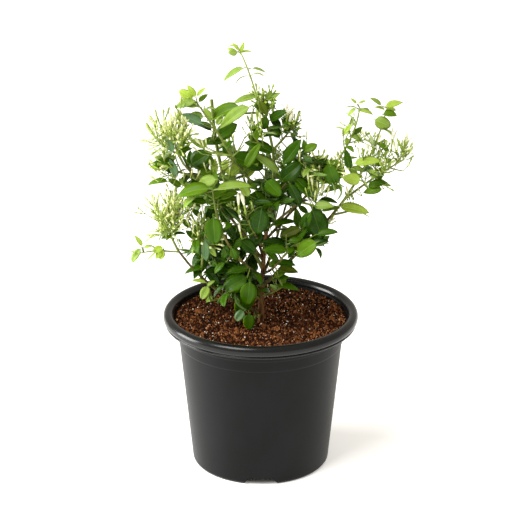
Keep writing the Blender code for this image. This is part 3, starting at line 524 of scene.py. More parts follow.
class GeometryTree:
    """A Geometry Nodes tree with named inputs, which is run once on an object and leaves a plain mesh."""

    def __init__(self, name: str, **inputs: str) -> None:
        """Makes the tree with its geometry sockets.

        Args:
            name: The tree's name.
            **inputs: Each named input's kind of socket.
        """
        self.tree = bpy.data.node_groups.new(name, "GeometryNodeTree")
        sockets = self.tree.interface
        for way in ("INPUT", "OUTPUT"):
            sockets.new_socket("Geometry", in_out=way, socket_type="NodeSocketGeometry")
        self.keys = {
            key: sockets.new_socket(key, in_out="INPUT", socket_type=f"NodeSocket{kind}").identifier
            for key, kind in inputs.items()
        }
        self.given = self.tree.nodes.new("NodeGroupInput").outputs

    def node(self, kind: str, inputs: dict[str | int, object] | None = None, **settings: object) -> Node:
        """Adds a node to this tree."""
        return add_node(self.tree, kind, inputs, **settings)

    def read(self, name: str, data_type: str = "FLOAT") -> NodeSocket:
        """The named attribute's own values."""
        return self.node("GeometryNodeInputNamedAttribute", {"Name": name}, data_type=data_type).outputs[0]

    def end(self, geometry: NodeSocket, materials: dict[str, NodeSocket | bool]) -> None:
        """Closes the tree: instances are made real, and each material input is set where its selection says.

        Args:
            geometry: What has been grown.
            materials: Each material input's name, and the faces that it covers.
        """
        geometry = self.node("GeometryNodeRealizeInstances", {"Geometry": geometry}).outputs[0]
        for name, faces in materials.items():
            inputs = {"Geometry": geometry, "Selection": faces, "Material": self.given[name]}
            geometry = self.node("GeometryNodeSetMaterial", inputs).outputs[0]
        self.node("NodeGroupOutput", {"Geometry": geometry})

    def run(self, obj: Object, values: dict[str, object]) -> None:
        """Grows the tree's result on the object and keeps it as a plain mesh.

        Args:
            obj: The mesh that the tree starts from.
            values: What each named input gets.
        """
        modifier = obj.modifiers.new(self.tree.name, "NODES")
        modifier.node_group = self.tree
        for name, value in values.items():
            modifier[self.keys[name]] = value
        evaluated(obj)
        for attribute in [a for a in obj.data.attributes if a.name in GROWTH_ATTRIBUTES]:
            obj.data.attributes.remove(attribute)


GROWTH_ATTRIBUTES = ("girth", "turned", "scaled", "form", "part")


def link(obj: Object) -> Object:
    """Puts the object in the scene."""
    bpy.context.scene.collection.objects.link(obj)
    return obj


def make_mesh(
    name: str,
    points: Iterable[Sequence[float]],
    faces: Sequence[Sequence[int]] = (),
    edges: Sequence[Sequence[int]] = (),
    outward: bool = False,
) -> Mesh:
    """A smooth-shaded mesh from points, faces or edges.

    Args:
        name: The mesh's name.
        points: Its vertices.
        faces: Its faces.
        edges: Its loose edges.
        outward: Whether its normals are worked out again to point outwards.

    Returns:
        The mesh.
    """
    mesh = bpy.data.meshes.new(name)
    mesh.from_pydata([tuple(p) for p in points], edges, faces)
    if outward:
        bm = bmesh.new()
        bm.from_mesh(mesh)
        bmesh.ops.recalc_face_normals(bm, faces=bm.faces)
        bm.to_mesh(mesh)
        bm.free()
    mesh.shade_smooth()
    return mesh


def mesh_object(mesh: Mesh) -> Object:
    """Puts a mesh in the scene as an object of the same name."""
    return link(bpy.data.objects.new(mesh.name, mesh))


def shape_collection(name: str, meshes: Iterable[Mesh]) -> Collection:
    """Collects meshes as objects outside the scene, for a tree to choose from in the order of their names."""
    shapes = bpy.data.collections.new(name)
    for mesh in meshes:
        shapes.objects.link(bpy.data.objects.new(mesh.name, mesh))
    return shapes


def store(mesh: Mesh, name: str, kind: str, values: Sequence[object], domain: str = "POINT") -> None:
    """Gives the mesh a named attribute.

    Args:
        mesh: The mesh.
        name: The attribute's name.
        kind: Its data type.
        values: One value for each point or face.
        domain: POINT or FACE.
    """
    attribute = mesh.attributes.new(name, kind, domain)
    field_name = "vector" if kind == "FLOAT_VECTOR" else "value"
    dtype = np.int32 if kind == "INT" else np.float32
    attribute.data.foreach_set(field_name, np.array(values, dtype).ravel())


def hand_over(obj: Object, nodes: Iterable[str] = ()) -> None:
    """Fixes a finished piece to the part and hides the CAD nodes that it stands for.

    Args:
        obj: The piece.
        nodes: The CAD nodes that it stands for.
    """
    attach(obj, BODY)
    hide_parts(*nodes)
    LOG.info("%s: %d faces", obj.name, len(obj.data.polygons))


def evaluated(obj: Object) -> None:
    """Applies every modifier on the object to its mesh."""
    seed = obj.data
    obj.data = bpy.data.meshes.new_from_object(obj.evaluated_get(bpy.context.evaluated_depsgraph_get()))
    obj.data.name = obj.name
    obj.modifiers.clear()
    bpy.data.meshes.remove(seed)


def rounded(
    profile: Sequence[tuple[float, float]], radius: float, steps: int = 3
) -> list[tuple[float, float]]:
    """Rounds every corner of a profile.

    Args:
        profile: Points of radius and height.
        radius: How far from its corner each curve starts, where the sides are long enough.
        steps: Points on each curve, less one.

    Returns:
        The rounded profile, with its two ends kept.
    """
    found = [profile[0]]
    for before, corner, after in zip(profile, profile[1:], profile[2:]):
        b, c, a = (Vector(p) for p in (before, corner, after))
        start = c + (b - c).normalized() * min(radius, (b - c).length * 0.45)
        end = c + (a - c).normalized() * min(radius, (a - c).length * 0.45)
        for step in range(steps + 1):
            t = step / steps
            point = start * (1 - t) ** 2 + c * 2 * t * (1 - t) + end * t**2
            found.append((point.x, point.y))
    return [*found, profile[-1]]


def lathe(name: str, profile: Sequence[tuple[float, float]], sides: int) -> Object:
    """Turns a profile whose two ends are on the axis into a closed solid.

    Args:
        name: The object's name.
        profile: Points of radius and height.
        sides: How many sides the circle has.

    Returns:
        The solid, smooth, in the scene.
    """
    bm = bmesh.new()
    line = [bm.verts.new((radius, 0, height)) for radius, height in profile]
    geom = line + [bm.edges.new(pair) for pair in zip(line, line[1:])]
    bmesh.ops.spin(bm, geom=geom, cent=(0, 0, 0), axis=UP, angle=2 * pi, steps=sides, use_merge=True)
    bmesh.ops.remove_doubles(bm, verts=bm.verts, dist=0.01 * MM)
    bmesh.ops.recalc_face_normals(bm, faces=bm.faces)
    mesh = bpy.data.meshes.new(name)
    bm.to_mesh(mesh)
    bm.free()
    mesh.shade_smooth()
    return mesh_object(mesh)


@dataclass
class NurseryPot:
    """The injection-moulded pot, with its rolled rim, ring steps, drain channel, notches and holes.

    Radii and heights are in metres; the wall is as wide as base_radius + slope * height at a height.
    """

    rim_radius: float = 101.5 * MM
    height: float = 168 * MM
    base_radius: float = 71.3 * MM
    slope: float = 0.1016
    wall: float = 1.8 * MM
    floor: float = 2.2 * MM
    step_out: float = 0.6 * MM
    lower_step: float = 134 * MM
    upper_step: float = 146 * MM
    flare: float = 151 * MM
    roll_half_width: float = 5.4 * MM
    roll_half_height: float = 6 * MM
    foot_bevel: float = 3 * MM
    channel_height: float = 7 * MM
    channel_inner: float = 50 * MM
    channel_outer: float = 62.5 * MM
    channel_slant: float = 4 * MM
    notches: int = 3
    notch_low: float = 35 * MM
    notch_high: float = 26 * MM
    notch_height: float = 7.4 * MM
    holes: int = 3
    hole_radius: float = 4.5 * MM
    polish_radius: float = 88.6 * MM
    polish_height: float = 154 * MM
    sides: int = 180

    def wall_radius(self, height: float) -> float:
        """Outer radius of the straight tapered wall at this height."""
        return self.base_radius + self.slope * height

    def roll(self) -> list[tuple[float, float]]:
        """The rolled rim's skin, from under its outside, over the top, to its inner edge."""
        wide, high = self.roll_half_width, self.roll_half_height
        radius, height = self.rim_radius - wide, self.height - high
        angles = np.radians(np.linspace(-42, 190, 19))
        return [(radius + wide * cos(angle), height + high * sin(angle)) for angle in angles]

    def inside(self) -> list[tuple[float, float]]:
        """The inner profile, from the top of the inner wall down to the middle of the floor."""
        over = self.channel_height + self.floor
        channel = self.channel_inner + 1.2 * MM
        return [
            (self.wall_radius(self.flare) + 2 * self.step_out - self.wall, self.flare),
            (self.wall_radius(self.lower_step) - self.wall, self.lower_step),
            (self.wall_radius(over) - self.wall, over),
            (channel, over),
            (channel - self.channel_slant, self.floor),
            (0, self.floor),
        ]

    def profile(self) -> list[tuple[float, float]]:
        """The whole profile, from the middle of the underside, round the rim, to the middle of the floor."""
        step, rise = self.step_out, 1.0 * MM
        roof = self.height - self.roll_half_height - 2 * MM
        outside = [
            (0, 0),
            (self.channel_inner - self.channel_slant, 0),
            (self.channel_inner, self.channel_height),
            (self.channel_outer, self.channel_height),
            (self.channel_outer + self.channel_slant, 0),
            (self.base_radius - self.foot_bevel * 0.7, 0),
        ]
        # Heights up the wall, with how far it stands out there and how far each step rises as it does.
        for height, out, up in (
            (self.foot_bevel, 0, 0),
            (self.lower_step, 0, 0),
            (self.lower_step, step, rise),
            (self.upper_step, step, 0),
            (self.upper_step, 2 * step, rise),
            (self.flare, 2 * step, 0),
        ):
            outside.append((self.wall_radius(height) + out, height + up))
        # The collar and its bead under the roll: distances inside the rim's radius, and heights.
        outside += [(self.rim_radius - inset * MM, roof) for inset in (10.3, 4.6)]
        bead = ((4.9, 155.6), (3.4, 154.4), (1.9, 154.9), (1.7, 156.4), (2.6, 157.3))
        outside += [(self.rim_radius - inset * MM, height * MM) for inset, height in bead]
        return rounded(outside, 0.8 * MM) + self.roll() + rounded(self.inside(), 2 * MM)

    def notch_cutter(self, number: int) -> Object:
        """A wedge that cuts one drain notch through the foot, from the channel outwards."""
        low = -2 * MM
        spread = (self.notch_low - self.notch_high) / self.notch_height
        halves = (((self.notch_low - spread * low) / 2, low), (self.notch_high / 2, self.notch_height))
        points = [
            (radius, side * half, height)
            for radius in (self.channel_outer - 2 * MM, self.rim_radius)
            for half, height in halves
            for side in (-1, 1)
        ]
        faces = [(0, 1, 3, 2), (4, 5, 7, 6), (0, 1, 5, 4), (2, 3, 7, 6), (0, 2, 6, 4), (1, 3, 7, 5)]
        cutter = mesh_object(make_mesh(f"notch_cutter_{number}", points, faces, outward=True))
        cutter.data.transform(Matrix.Rotation(-pi / 2 + number * 2 * pi / self.notches, 4, "Z"))
        corners = cutter.modifiers.new("corners", "BEVEL")
        corners.width = 1.4 * MM
        corners.segments = 3
        return cutter

    def hole_cutter(self, number: int) -> Object:
        """A cylinder that cuts one drain hole through the roof of the channel."""
        angle = -pi / 2 + (number + 0.5) * 2 * pi / self.holes
        radius, wide = (self.channel_inner + self.channel_outer) / 2 + 0.8 * MM, self.hole_radius
        low, high = self.channel_height - 3 * MM, self.channel_height + self.floor + 3 * MM
        cutter = lathe(f"hole_cutter_{number}", [(0, low), (wide, low), (wide, high), (0, high)], 24)
        cutter.data.transform(Matrix.Translation((radius * cos(angle), radius * sin(angle), 0)))
        return cutter

    def build(self) -> None:
        """Turns the pot, cuts its notches and holes, and dresses its wall and rim."""
        pot = lathe("pot_shell", self.profile(), self.sides)
        cutters = bpy.data.collections.new("pot_cutters")
        bpy.context.scene.collection.children.link(cutters)
        made = [self.notch_cutter(n) for n in range(self.notches)]
        made += [self.hole_cutter(n) for n in range(self.holes)]
        for cutter in made:
            cutters.objects.link(cutter)
        cut = pot.modifiers.new("cut", "BOOLEAN")
        cut.operand_type, cut.collection = "COLLECTION", cutters
        evaluated(pot)
        clear_collection(cutters)
        pot.data.materials.clear()
        for finish in (POT_WALL, POT_RIM):
            pot.data.materials.append(finish.material())
        for face in pot.data.polygons:
            on_rim = hypot(*face.center[:2]) > self.polish_radius and face.center.z > self.polish_height
            face.material_index = int(on_rim)
        pot.data.shade_smooth()
        pot.data.set_sharp_from_angle(angle=radians(38))
        hand_over(pot, ["pot"])


def make_scatter_tree() -> GeometryTree:
    """The tree that scatters crumbs over a surface, each turned and sized by chance."""
    sizes = {"Density": "Float", "Smallest": "Float", "Largest": "Float", "Lift": "Float"}
    tree = GeometryTree("scatter", Pieces="Collection", **sizes, Seed="Int", Finish="Material")
    given = tree.given
    spots = {"Mesh": given["Geometry"], "Density": given["Density"], "Seed": given["Seed"]}
    points = tree.node("GeometryNodeDistributePointsOnFaces", spots).outputs["Points"]
    raised = tree.node("ShaderNodeCombineXYZ", {"Z": given["Lift"]}).outputs[0]
    points = tree.node("GeometryNodeSetPosition", {"Geometry": points, "Offset": raised}).outputs[0]
    chosen = {"Collection": given["Pieces"], "Separate Children": True, "Reset Children": True}
    whole_turn = (2 * pi,) * 3
    turn = tree.node("FunctionNodeRandomValue", {1: whole_turn, "Seed": 1}, data_type="FLOAT_VECTOR")
    size = tree.node("FunctionNodeRandomValue", {2: given["Smallest"], 3: given["Largest"], "Seed": 2})
    kind = tree.node("FunctionNodeRandomValue", {4: 0, 5: CRUMB_SHAPES - 1, "Seed": 3}, data_type="INT")
    laid = {
        "Points": points,
        "Instance": tree.node("GeometryNodeCollectionInfo", chosen).outputs[0],
        "Pick Instance": True,
        "Instance Index": kind.outputs[2],
        "Rotation": turn.outputs[0],
        "Scale": size.outputs[1],
    }
    tree.end(tree.node("GeometryNodeInstanceOnPoints", laid).outputs[0], {"Finish": True})
    return tree


CRUMB_SHAPES = 8


@dataclass
class PottingMix:
    """Coir potting mix: an uneven bed, and the crumbs, perlite and fibres that lie on it."""

    pot: NurseryPot
    top: float = 157 * MM
    edge_rise: float = 2.0 * MM
    gap: float = 0.3 * MM
    swell: float = 2.1 * MM
    sides: int = 120
    rings: int = 26

    def edge_radius(self) -> float:
        """Radius of the bed's top edge, just clear of the inner wall."""
        radius, height = self.pot.inside()[0]
        rim_radius, rim_height = self.pot.roll()[-1]
        share = (self.top + self.edge_rise - height) / (rim_height - height)
        return radius + share * (rim_radius - radius) - 1.1 * self.gap

    def height_at(self, x: float, y: float) -> float:
        """Height of the bed's surface, which the rise at its edge and two sizes of lump shape."""
        share = hypot(x, y) / self.edge_radius()
        near_trunk = min(1, max(0, share / 0.25))
        lumps = noise.noise(Vector((x, y, 0)) / (19 * MM))
        lumps += 0.5 * noise.noise(Vector((x, y, 0.3)) / (7 * MM))
        return self.top + self.edge_rise * share**4 + self.swell * lumps * near_trunk * (1 - 0.5 * share**6)

    def surface(self, radius: float, name: str) -> Object:
        """The bed's top as an open disc, out to this radius, with a square pattern of small faces."""
        count = self.sides
        points = [(0.0, 0.0, self.height_at(0, 0))]
        for ring in range(1, self.rings + 1):
            for side in range(count):
                angle, reach = 2 * pi * side / count, radius * ring / self.rings
                x, y = reach * cos(angle), reach * sin(angle)
                points.append((x, y, self.height_at(x, y)))
        faces = [(0, 1 + side, 1 + (side + 1) % count) for side in range(count)]
        for low in range(1, 1 + (self.rings - 1) * count, count):
            for side in range(count):
                after = (side + 1) % count
                faces.append((low + side, low + count + side, low + count + after, low + after))
        return mesh_object(make_mesh(name, points, faces))

    def bed(self) -> Object:
        """The closed bed: its uneven top, and a body down to the pot's floor, clear of the wall."""
        obj = self.surface(self.edge_radius(), "mix_bed")
        bm = bmesh.new()
        bm.from_mesh(obj.data)
        rim = [edge for edge in bm.edges if edge.is_boundary]
        for radius, height in self.pot.inside()[:-1]:
            made = bmesh.ops.extrude_edge_only(bm, edges=rim)["geom"]
            rim = [part for part in made if isinstance(part, bmesh.types.BMEdge)]
            level = height if height > 100 * MM else height + self.gap
            for vertex in {vertex for edge in rim for vertex in edge.verts}:
                vertex.co = (*(Vector(vertex.co[:2]).normalized() * (radius - 1.1 * self.gap)), level)
        bmesh.ops.contextual_create(bm, geom=rim)
        bmesh.ops.recalc_face_normals(bm, faces=bm.faces)
        bm.to_mesh(obj.data)
        bm.free()
        obj.data.shade_smooth()
        obj.data.set_sharp_from_angle(angle=radians(50))
        obj.data.materials.append(MIX_BED.material())
        return obj

    def crumbs(self, draw: random.Random) -> Collection:
        """A few shapes of crumb, each a knobbly lump of 20 faces about 1 mm across."""
        meshes = []
        for number in range(CRUMB_SHAPES):
            bm = bmesh.new()
            bmesh.ops.create_icosphere(bm, subdivisions=1, radius=0.5 * MM)
            stretch = Vector((draw.uniform(0.9, 1.5), draw.uniform(0.7, 1.0), draw.uniform(0.5, 0.8)))
            for vertex in bm.verts:
                vertex.co = Vector(c * s for c, s in zip(vertex.co, stretch)) * draw.uniform(0.72, 1.25)
            mesh = bpy.data.meshes.new(f"crumb_{number}")
            bm.to_mesh(mesh)
            bm.free()
            meshes.append(mesh)
        return shape_collection("crumb_shapes", meshes)

    def fibres(self, draw: random.Random) -> Collection:
        """A few shapes of coir fibre, each a bent thread 5 to 9 mm long with three sides."""
        meshes = []
        for number in range(CRUMB_SHAPES):
            length, bend = draw.uniform(5, 9) * MM, draw.uniform(-1.2, 1.2)
            line = [
                Vector((length * (t - 0.5), 0.6 * MM * bend * sin(3 * t), 0.5 * MM * sin(2.4 * t)))
                for t in np.linspace(0, 1, 5)
            ]
            meshes.append(make_mesh(f"fibre_{number}", *tube(line, [0.16 * MM] * 5, 3), outward=True))
        return shape_collection("fibre_shapes", meshes)

    def build(self) -> None:
        """Makes the bed, then scatters four kinds of crumb, the perlite and the fibres over it."""
        draw = random.Random(5)
        hand_over(self.bed(), ["potting_mix"])
        tree = make_scatter_tree()
        crumbs, fibres = self.crumbs(draw), self.fibres(draw)
        # Name, shapes, number on a square metre, smallest and largest scale, lift in millimetres, and finish.
        kinds = (
            ("mix_crumbs_damp", crumbs, 120000, 1.4, 3.6, 0.2, CRUMB_DARK),
            ("mix_crumbs_brown", crumbs, 70000, 1.1, 3.3, 0.7, CRUMB_BROWN),
            ("mix_clods", crumbs, 5000, 3.2, 6.5, 0.4, CRUMB_BROWN),
            ("mix_crumbs_dry", crumbs, 26000, 0.8, 2.4, 1.2, CRUMB_LIGHT),
            ("mix_perlite", crumbs, 7000, 0.6, 1.9, 1.2, PERLITE),
            ("mix_fibres", fibres, 7000, 0.5, 1.1, 1.2, COIR_FIBRE),
        )
        for seed, (name, shapes, density, smallest, largest, lift, finish) in enumerate(kinds, 3):
            spots = self.surface(self.edge_radius() - 1.8 * MM, name)
            sizes = {"Density": float(density), "Smallest": smallest, "Largest": largest, "Lift": lift * MM}
            tree.run(spots, {"Pieces": shapes, **sizes, "Seed": seed, "Finish": finish.material()})
            hand_over(spots)
        clear_collection(crumbs)
        clear_collection(fibres)


def clear_collection(collection: Collection) -> None:
    """Removes a collection of shapes that have been used."""
    for obj in list(collection.objects):
        bpy.data.objects.remove(obj)
    bpy.data.collections.remove(collection)


def heading(azimuth: float, rise: float) -> Vector:
    """Unit vector at this azimuth and rise, in degrees."""
    a, r = radians(azimuth), radians(rise)
    return Vector((cos(r) * cos(a), cos(r) * sin(a), sin(r)))


def centre_line(
    start: Vector, azimuth: float, rise: float, length: float, curl: float, swing: float, steps: int
) -> list[Vector]:
    """Points along a limb as its heading turns evenly by curl and swing.

    Args:
        start: Where it starts.
        azimuth: Its first azimuth, in degrees.
        rise: Its first rise, in degrees.
        length: Its length in metres.
        curl: How far rise changes.
        swing: How far azimuth changes.
        steps: How many straight steps it has.

    Returns:
        steps + 1 points.
    """
    points = [start.copy()]
    for step in range(steps):
        share = (step + 0.5) / steps
        points.append(points[-1] + heading(azimuth + swing * share, rise + curl * share) * (length / steps))
    return points


def across(direction: Vector) -> tuple[Vector, Vector]:
    """Two unit vectors at right angles to a direction, the first of them level."""
    level = UP.cross(direction)
    if level.length < 0.05:
        level = Vector((1, 0, 0)) - direction * direction.x
    level.normalize()
    return level, direction.cross(level).normalized()


def around(direction: Vector, turn: float) -> Vector:
    """The unit vector at right angles to a direction that stands this far round it, in degrees."""
    level, upward = across(direction)
    angle = radians(turn)
    return level * cos(angle) + upward * sin(angle)


def tube(
    points: Sequence[Vector], radii: Sequence[float], sides: int
) -> tuple[list[Vector], list[tuple[int, ...]]]:
    """Points and faces of a closed tapering tube.

    Args:
        points: Its centre line.
        radii: Its radius at each point.
        sides: How many sides it has.

    Returns:
        Its vertices and faces.
    """
    verts, faces = [], []
    side, _ = across((points[1] - points[0]).normalized())
    for number, (point, radius) in enumerate(zip(points, radii)):
        along = (points[min(number + 1, len(points) - 1)] - points[max(number - 1, 0)]).normalized()
        side = (side - along * side.dot(along)).normalized()
        other = along.cross(side)
        for corner in range(sides):
            angle = 2 * pi * corner / sides
            verts.append(point + (side * cos(angle) + other * sin(angle)) * radius)
    for low in range(0, len(verts) - sides, sides):
        for corner in range(sides):
            after = (corner + 1) % sides
            faces.append((low + corner, low + after, low + sides + after, low + sides + corner))
    return verts, [*faces, tuple(range(sides)), tuple(range(len(verts) - sides, len(verts)))]


def share_point(points: Sequence[Vector], share: float) -> tuple[Vector, Vector]:
    """The point and heading at this share of a line of evenly spaced points."""
    place = share * (len(points) - 1)
    number = min(int(place), len(points) - 2)
    first, second = points[number], points[number + 1]
    return first.lerp(second, place - number), (second - first).normalized()


def samples(points: Sequence[Vector], spacing: float) -> list[Vector]:
    """Points along a line, this far apart or closer."""
    found = []
    for first, second in zip(points, points[1:]):
        count = max(1, ceil((second - first).length / spacing))
        found += [first.lerp(second, number / count) for number in range(count)]
    return [*found, points[-1]]


def smooth_line(points: Sequence[Vector], spacing: float) -> list[Vector]:
    """A smooth curve through the points, in short steps, by Catmull and Rom's rule."""
    ends = [points[0] * 2 - points[1], *points, points[-1] * 2 - points[-2]]
    found = []
    for a, b, c, d in zip(ends, ends[1:], ends[2:], ends[3:]):
        count = max(1, ceil((c - b).length / spacing))
        for step in range(count):
            t = step / count
            curve = b * 2 + (c - a) * t + (a * 2 - b * 5 + c * 4 - d) * t**2 + (b * 3 - a - c * 3 + d) * t**3
            found.append(curve * 0.5)
    return [*found, points[-1].copy()]


@dataclass
class Grown:
    """A limb that has its place: its centre line and its radius at each point."""

    points: list[Vector]
    radii: list[float]

    def fine(self, spacing: float = 1.3 * MM, node_mm: float = 22, swell: float = 0.16) -> "Grown":
        """The same limb in short steps, with its nodes a little swollen.

        Args:
            spacing: Length of a step.
            node_mm: Distance between nodes, in millimetres.
            swell: How much thicker a node is.

        Returns:
            The finer limb.
        """
        points = smooth_line(self.points, spacing)
        shares = np.linspace(0, 1, len(points))
        radii = np.interp(shares, np.linspace(0, 1, len(self.radii)), self.radii)
        reach = np.cumsum([0.0] + [(b - a).length for a, b in zip(points, points[1:])]) / (node_mm * MM)
        off_node = np.abs(reach - np.round(reach)) * node_mm
        return Grown(points, list(radii * (1 + swell * np.exp(-((off_node / 1.6) ** 2)))))


def grow_limb(limb: Limb, grown: dict[str, Grown], steps: int) -> Grown:
    """Places a limb with its root in its parent.

    Args:
        limb: What to place.
        grown: The limbs that have their places, by name.
        steps: How many straight steps it has.

    Returns:
        Its centre line and radii.
    """
    start = TRUNK_FOOT
    if limb.parent:
        parent = grown[limb.parent]
        point, along = share_point(parent.points, limb.at)
        toward, gap = heading(limb.azimuth, limb.rise), 0.3 * MM
        if limb.at >= 1:
            start = point + toward * (gap / toward.dot(along))
        else:
            radius = np.interp(limb.at, np.linspace(0, 1, len(parent.radii)), parent.radii)
            outward = (toward - along * toward.dot(along)).normalized()
            start = point + toward * ((radius + gap) / toward.dot(outward))
    points = centre_line(start, limb.azimuth, limb.rise, limb.length * MM, limb.curl, limb.swing, steps)
    shares = [number / steps for number in range(steps + 1)]
    radii = [(limb.root_radius + (limb.tip_radius - limb.root_radius) * share) * MM for share in shares]
    if not limb.parent:
        radii = [radius * (1 + 0.25 * max(0, 1 - share / 0.1) ** 2) for radius, share in zip(radii, shares)]
    return Grown(points, radii)


def rooted(limb: Limb, line: Grown, grown: dict[str, Grown]) -> Grown:
    """The limb with its root carried into its parent, so that no gap shows where they join."""
    if not limb.parent:
        foot = line.points[0] - UP * 2.5 * MM
        return Grown([foot, *line.points], [line.radii[0] * 1.05, *line.radii])
    inner, _ = share_point(grown[limb.parent].points, limb.at)
    return Grown([inner, *line.points], [line.radii[0], *line.radii])


# Shares of a leaf's length: half its stalk's width, where its thick stalk ends, and its cross sections.
STALK_HALF = 0.019
STALK_END = 0.15
LEAF_STATIONS = (0, 0.11, 0.19, 0.31, 0.45, 0.6, 0.75, 0.88, 1)


@dataclass(frozen=True)
class LeafShape:
    """One variant of a leaf outline, a unit long, along +Y with its upper face towards +Z.

    Attributes:
        width: Its width as a share of its length.
        root_power: How fast it widens from its stalk; smaller is rounder.
        tip_power: How fast it narrows to its tip; smaller is rounder.
        curl: How far it bends down along its length, in degrees.
        fold: How steeply its halves rise from the midrib.
        wave: Height of its margin's waves.
        phase: Where along the margin the waves start, in radians.
    """

    width: float
    root_power: float
    tip_power: float
    curl: float
    fold: float
    wave: float
    phase: float

    def half_width(self, share: float) -> float:
        """Half the blade's width at this share of its length, past its stalk."""
        reach = (share - LEAF_STATIONS[1]) / (1 - LEAF_STATIONS[1])
        if reach <= 0:
            return STALK_HALF
        a, b = self.root_power, self.tip_power
        peak = (a / (a + b)) ** a * (b / (a + b)) ** b
        return max(0.012, self.width / 2 * reach**a * (1 - reach) ** b / peak)

    def place(self, share: float, out: float, up: float) -> Vector:
        """A point of the blade, from its share of the length, its distance from the midrib and its height."""
        bend = radians(self.curl) or 1e-6
        reach = share * bend
        y, z = sin(reach) / bend, -(1 - cos(reach)) / bend
        lift = self.fold * abs(out) * (1 - 0.9 * abs(out)) + up
        lift += self.wave * sin(self.phase + 9 * share + (1.4 if out > 0 else 0)) * (abs(out) / 0.3) ** 2
        return Vector((out, y + lift * sin(reach), z + lift * cos(reach)))

    def mesh(self, name: str) -> Mesh:
        """The closed leaf, with the number of the surface that each face belongs to.

        Args:
            name: The mesh's name.

        Returns:
            A mesh with a face attribute named part: 0 above, 1 below and 2 on the midrib and stalk.
        """
        points, faces, parts, rings = [], [], [], []
        for share in LEAF_STATIONS[:-1]:
            half = self.half_width(share)
            rib = min(max(0.004, 0.016 * (1 - 0.75 * share)), half * 0.4)
            thick = 0.013 if share < STALK_END else 0.006
            rings.append(range(len(points), len(points) + 7))
            points += [self.place(share, out, thick * (abs(out) < half)) for out in (-half, -half / 2, -rib)]
            points += [self.place(share, out, thick * (abs(out) < half)) for out in (rib, half / 2, half)]
            points.append(self.place(share, 0, -1.6 * thick))
        points.append(self.place(1, 0, 0))
        rings.append([len(points) - 1] * 7)
        for number, (ring, after) in enumerate(zip(rings, rings[1:])):
            quads = [(ring[n], ring[n + 1], after[n + 1], after[n]) for n in range(5)]
            quads += [(ring[n], after[n], after[m], ring[m]) for n, m in ((0, 6), (6, 5))]
            faces += [tuple(dict.fromkeys(quad)) for quad in quads]
            parts += [2] * 7 if number == 0 else [0, 0, 2, 0, 0, 1, 1]
        faces.append((0, *reversed(range(1, 7))))
        parts.append(2)
        mesh = make_mesh(name, points, faces)
        store(mesh, "part", "INT", parts, "FACE")
        return mesh


# Width, root power and tip power of each outline, and curl, fold, wave and phase of each bend.
LEAF_SHAPES = {
    OVATE: (0.42, 0.6, 1.05),
    BROAD: (0.6, 0.5, 0.8),
    OBLONG: (0.36, 0.5, 0.8),
    LEAFLET: (0.3, 0.6, 0.95),
}
LEAF_BENDS = ((48, 0.42, 0.012, 0.0), (18, 0.56, 0.014, 1.7), (80, 0.32, 0.014, 3.1), (-26, 0.46, 0.018, 4.4))


def leaf_forms() -> Collection:
    """Every leaf outline in each of its bends, named so that they sort by number."""
    meshes = [
        LeafShape(*outline, *bend).mesh(f"leaf_{form.value + number:02d}")
        for form, outline in LEAF_SHAPES.items()
        for number, bend in enumerate(LEAF_BENDS)
    ]
    return shape_collection("leaf_shapes", meshes)


def turned_form(
    name: str, stations: Sequence[tuple[float, float]], sides: int, calyx: float, tube_end: float, bend: float
) -> Mesh:
    """A slender turned shape along +Y, such as a bud.

    Args:
        name: The mesh's name.
        stations: Its distance along and radius at each ring; the last is its point.
        sides: How many sides it has.
        calyx: How far along the calyx reaches.
        tube_end: How far along its slender tube reaches.
        bend: How far its tip bends aside.

    Returns:
        A mesh with a face attribute named part: 1 on the calyx, 2 on the tube and 0 beyond it.
    """
    points, faces, parts = [], [], []
    for along, radius in stations[:-1]:
        for side in range(sides):
            angle = 2 * pi * side / sides
            points.append((radius * cos(angle) + bend * along**2, along, radius * sin(angle)))
    points.append((bend, stations[-1][0], 0))
    for ring, (along, _) in enumerate(stations[:-1]):
        for side in range(sides):
            after, low, high = (side + 1) % sides, ring * sides, (ring + 1) * sides
            ahead = (len(points) - 1,) if ring == len(stations) - 2 else (high + after, high + side)
            faces.append((low + side, low + after, *ahead))
            parts.append(1 if along < calyx else 2 if along < tube_end else 0)
    mesh = make_mesh(name, points, [*faces, tuple(range(sides))], outward=True)
    store(mesh, "part", "INT", [*parts, 1], "FACE")
    return mesh


# The swell and bend of each bud, and how far each flower's petals open, in degrees.
BUD_SHAPES = ((0.074, 0.03), (0.085, -0.04), (0.066, 0.08), (0.092, 0.0))
FLOWER_OPENINGS = (16, 34, 56)


def bud_forms() -> Collection:
    """Club buds a unit long: a cup of calyx, a slender tube and a swollen pointed tip."""
    meshes = []
    cup = [(0, 0.022), (0.07, 0.05), (0.17, 0.06), (0.18, 0.034)]
    for number, (swell, bend) in enumerate(BUD_SHAPES):
        club = [(0.45, 0.042), (0.66, swell * 0.92), (0.8, swell), (0.92, swell * 0.6), (1, 0)]
        meshes.append(turned_form(f"bud_{number}", cup + club, 6, 0.17, 0.4, bend))
    return shape_collection("bud_shapes", meshes)


